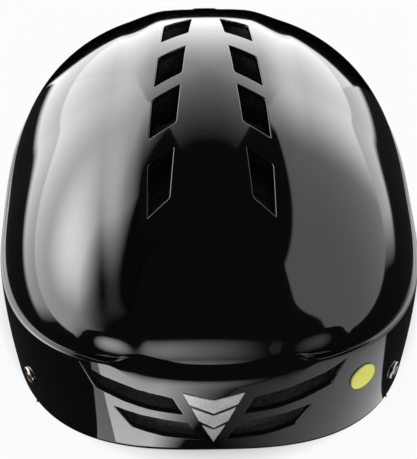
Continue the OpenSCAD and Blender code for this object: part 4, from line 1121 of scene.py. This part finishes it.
def nearestChannel(spots, middle, measure, places):
    along = placeAlong(measure, spots, middle)
    return np.min([np.abs(along - place) for place in places], axis=0)


def facingBack(spots, facings, back):  # 1 where a point faces what the pad is stuck to
    return np.einsum("ij,ij->i", facings, backWay(back, spots))


def makePad(node, fill, measure, places, back):
    piece = padBlank(node)
    start, out = meshArrays(piece.data)
    middle = (start.min(0) + start.max(0)) / 2
    sunk = start - out * padCloth["shrink"]
    putBack(piece.data, sunk)
    near, rests = nearestChannel(start, middle, measure, places), facingBack(start, out, back)
    partly = np.clip(rests + 0.6, 0, 1) * 0.3 if back != "none" else 0.0
    inflate(piece, np.where((rests > 0.3) | (near < 1.0), 1.0, partly))
    move = meshArrays(piece.data)[0] - sunk
    size = np.linalg.norm(move, axis=1)
    print(node, "swelled by up to", round(float(size.max()), 2), "mm, mean", round(float(size.mean()), 2))
    capped = np.minimum(size, padCloth["cap"]) / np.maximum(size, 1e-6)
    putBack(piece.data, sunk + move * capped[:, None])
    finer = piece.modifiers.new("finer", "SUBSURF")
    finer.levels = finer.render_levels = 1
    applied(piece)
    spots, out = meshArrays(piece.data)
    near, rests = nearestChannel(spots, middle, measure, places), facingBack(spots, out, back)
    groove = padCloth["groove"] * np.exp(-(near / padCloth["grooveHalf"]) ** 2 * 1.5) * (rests < 0.2)
    putBack(piece.data, spots - out * groove[:, None])
    for face in piece.data.polygons:
        face.use_smooth = True
    settle(piece, node)


for name, values in pads.items():
    makePad(name, *values)
print("pads made")


studio = {
    "lens": 197.2, "stand": (-0.0212, -1.0101, 0.8781), "aim": (0.0, -0.0115, 0.046),
    "floorTint": (0.86, 0.86, 0.87), "floorGlow": 0.93, "soft": 0.85, "glossy": 0.02,
    "radius": 1.6, "middle": 0.09, "darkReach": 9.0,
    # strength, then where it starts, is full, still is full and ends: degrees round from the brow, degrees up
    "walls": {"left": (4.8, (-142, -112, -31.001, -31), (-3.21, -3.2, 40, 62)),
              "right": (1.55, (34, 34.001, 135, 137), (-3.21, -3.2, 47, 50)),
              "far": (4.5, (-31, -30.999, 33.999, 34), (-3.21, -3.2, 14, 74))},
    "droop": (-84, 0.8),  # from here on the left wall fades lower, by so much a degree
    # extra on a wall: strength, middle and half width
    "glows": {"left": (7.5, (-86, 26), (31, 15)), "right": (2.95, (34, 12), (17, 42))},
    # strength, degrees round, metres from the middle
    "floors": {"left": (3.2, (-106, -92, -31.001, -31), (0.32, 0.4, 1.6, 1.601)),
               "far": (3.2, (-31, -30.999, 33.999, 34), (1.05, 1.13, 1.6, 1.601)),
               "right": (2.4, (34, 34.001, 58, 76), (0.36, 0.44, 1.6, 1.601)),
               "nearStep": (1.5, (-200, -199, -134, -133.5), (0.0, 0.01, 0.09, 0.18)),
               "nearLeft": (5.6, (-212, -178, -134, -133.5), (0.0, 0.01, 0.09, 0.18)),
               "nearRight": (1.25, (83, 84, 100, 225), (0.0, 0.01, 0.09, 0.18))},
    # off this direction and half width the far floor starts nearer, by so much a degree
    "farEdge": (4, 18, 0.047), "farStart": 0.2,
    "nearMiddles": {"nearStep": (-0.043, -0.105, 0.002), "nearLeft": (-0.03, -0.105, 0.0026),
                    "nearRight": (0.03, -0.10, 0.002)},
}


def glowMaterial(name, strength, across, along, extra=None, droop=None, edge=None):  # faded at its four ends
    made = bpy.data.materials.new(name)
    made.use_nodes = True
    tree = made.node_tree
    tree.nodes.clear()
    out = tree.nodes.new("ShaderNodeOutputMaterial")
    shine = tree.nodes.new("ShaderNodeEmission")
    where = tree.nodes.new("ShaderNodeTexCoord")
    split = tree.nodes.new("ShaderNodeSeparateXYZ")
    tree.links.new(where.outputs["UV"], split.inputs[0])
    turn, reach = (Sock(tree, split.outputs[i]) for i in (0, 1))
    start, stop = reach, reach
    if droop:
        stop = reach + (droop[0] - turn).math("MAXIMUM", 0.0) * droop[1]
    if edge:
        off = (turn - edge[0]).math("ABSOLUTE") - edge[1]
        start = reach + off.math("MAXIMUM", 0.0) * edge[2]
    level = turn.over(across[0], across[1]) * turn.over(across[3], across[2])
    level = level * (start.over(along[0], along[1]) * stop.over(along[3], along[2])) * strength
    if extra:
        more, middle, size = extra
        x, y = (turn - middle[0]) / size[0], (reach - middle[1]) / size[1]
        bell = (1.0 - (x * x + y * y) * 0.5).clamp()
        level = level * (1.0 + bell * bell * (more / strength))
    colour = tree.nodes.new("ShaderNodeCombineColor")
    for place in colour.inputs:
        tree.links.new(level.socket, place)
    tree.links.new(colour.outputs[0], shine.inputs["Color"])
    tree.links.new(shine.outputs[0], out.inputs["Surface"])
    return made


def lightCard(name, across, along, material, place):  # a sheet with its own degrees and reach as its map
    bm = bmesh.new()
    bmesh.ops.create_grid(bm, x_segments=36, y_segments=12, size=0.5)
    layer = bm.loops.layers.uv.new("place")
    wide, long = across[3] - across[0], along[3] - along[0]
    spots = {v: (across[0] + wide * (v.co.x + 0.5), along[0] + long * (v.co.y + 0.5)) for v in bm.verts}
    for face in bm.faces:
        for loop in face.loops:
            loop[layer].uv = spots[loop.vert]
    for v, (a, b) in spots.items():
        v.co = place(math.radians(a), b)
    made = newObject(name, bm, material)
    made.visible_camera = made.visible_shadow = made.visible_diffuse = False


def makeCards():
    r, h = studio["radius"], studio["middle"]

    def upright(a, e):
        return r * math.sin(a), r * math.cos(a), max(0.002, h + r * math.tan(math.radians(e)))

    def flatAt(x, y, z):
        return lambda a, e: (x + e * math.sin(a), y + e * math.cos(a), z)

    for name, (strength, across, along) in studio["walls"].items():
        droop = studio["droop"] if name == "left" else None
        material = glowMaterial(name + "Wall", strength, across, along, studio["glows"].get(name), droop)
        lightCard(name + "Wall", across, along, material, upright)
    for name, (strength, across, along) in studio["floors"].items():
        edge = studio["farEdge"] if name == "far" else None
        material = glowMaterial(name + "Floor", strength, across, along, edge=edge)
        middle = studio["nearMiddles"].get(name, (0, 0, 0.002))
        start = (studio["farStart"], *along[1:]) if name == "far" else along
        lightCard(name + "Floor", across, start, material, flatAt(*middle))
    dark = glowMaterial("darkFlag", studio["glossy"], (-181, -180.5, 180.5, 181), (-1, 0, 10, 11))
    reach = (0.001, 0, 0, studio["darkReach"])
    lightCard("darkFlag", (-180, -180, 180, 180), reach, dark, flatAt(0, 0, 0.001))


def makeFloor():
    made = bpy.data.materials.new("paleFloor")
    made.use_nodes = True
    tree = made.node_tree
    shader = next(n for n in tree.nodes if n.type == "BSDF_PRINCIPLED")
    shader.inputs["Base Color"].default_value = (*studio["floorTint"], 1)
    shader.inputs["Roughness"].default_value = 0.9
    shader.inputs["Specular IOR Level"].default_value = 0.0
    glow = tree.nodes.new("ShaderNodeEmission")
    glow.inputs["Strength"].default_value = 1.0
    path = tree.nodes.new("ShaderNodeLightPath")
    seen = Sock(tree, path.outputs["Is Camera Ray"])
    for ray in ("Is Glossy Ray", "Is Transmission Ray"):
        seen = seen.math("MAXIMUM", Sock(tree, path.outputs[ray]))
    where = tree.nodes.new("ShaderNodeTexCoord")
    split = tree.nodes.new("ShaderNodeSeparateXYZ")
    tree.links.new(where.outputs["Object"], split.inputs[0])
    x = Sock(tree, split.outputs[0]) / (skin["halfWidth"] * mm)
    y = Sock(tree, split.outputs[1]) / (skin["halfLength"] * mm)
    clear = (x * x + y * y).over(0.75, 1.15)  # under the helmet the floor stays in its shadow
    mixed = tree.nodes.new("ShaderNodeMixShader")
    tree.links.new((seen * clear * studio["floorGlow"]).socket, mixed.inputs[0])
    tree.links.new(shader.outputs[0], mixed.inputs[1])
    tree.links.new(glow.outputs[0], mixed.inputs[2])
    out = next(n for n in tree.nodes if n.type == "OUTPUT_MATERIAL")
    tree.links.new(mixed.outputs[0], out.inputs["Surface"])
    bm = bmesh.new()
    bmesh.ops.create_grid(bm, x_segments=1, y_segments=1, size=6)
    newObject("floor", bm, made)


def makeWorld():
    world = bpy.data.worlds.new("studio")
    scene.world = world
    world.use_nodes = True
    tree = world.node_tree
    tree.nodes.clear()
    out = tree.nodes.new("ShaderNodeOutputWorld")
    path = tree.nodes.new("ShaderNodeLightPath")

    def sky(colour, strength):
        made = tree.nodes.new("ShaderNodeBackground")
        made.inputs["Color"].default_value = (*colour, 1)
        made.inputs["Strength"].default_value = strength
        return made.outputs[0]

    seen = sky((0.97, 0.98, 1), studio["soft"])
    for ray, strength in (("Is Glossy Ray", studio["glossy"]), ("Is Camera Ray", 1.0)):
        mixed = tree.nodes.new("ShaderNodeMixShader")
        tree.links.new(path.outputs[ray], mixed.inputs[0])
        tree.links.new(seen, mixed.inputs[1])
        tree.links.new(sky((1, 1, 1), strength), mixed.inputs[2])
        seen = mixed.outputs[0]
    tree.links.new(seen, out.inputs["Surface"])


def makeCamera():
    data = bpy.data.cameras.new("camera")
    data.lens = studio["lens"]
    data.clip_end = 50
    camera = bpy.data.objects.new("camera", data)
    camera.location = studio["stand"]
    look = Vector(studio["aim"]) - Vector(studio["stand"])
    camera.rotation_euler = look.to_track_quat("-Z", "Y").to_euler()
    scene.collection.objects.link(camera)
    scene.camera = camera


scene.view_settings.view_transform = "Standard"
makeFloor()
makeWorld()
makeCards()
makeCamera()
print("studio made")
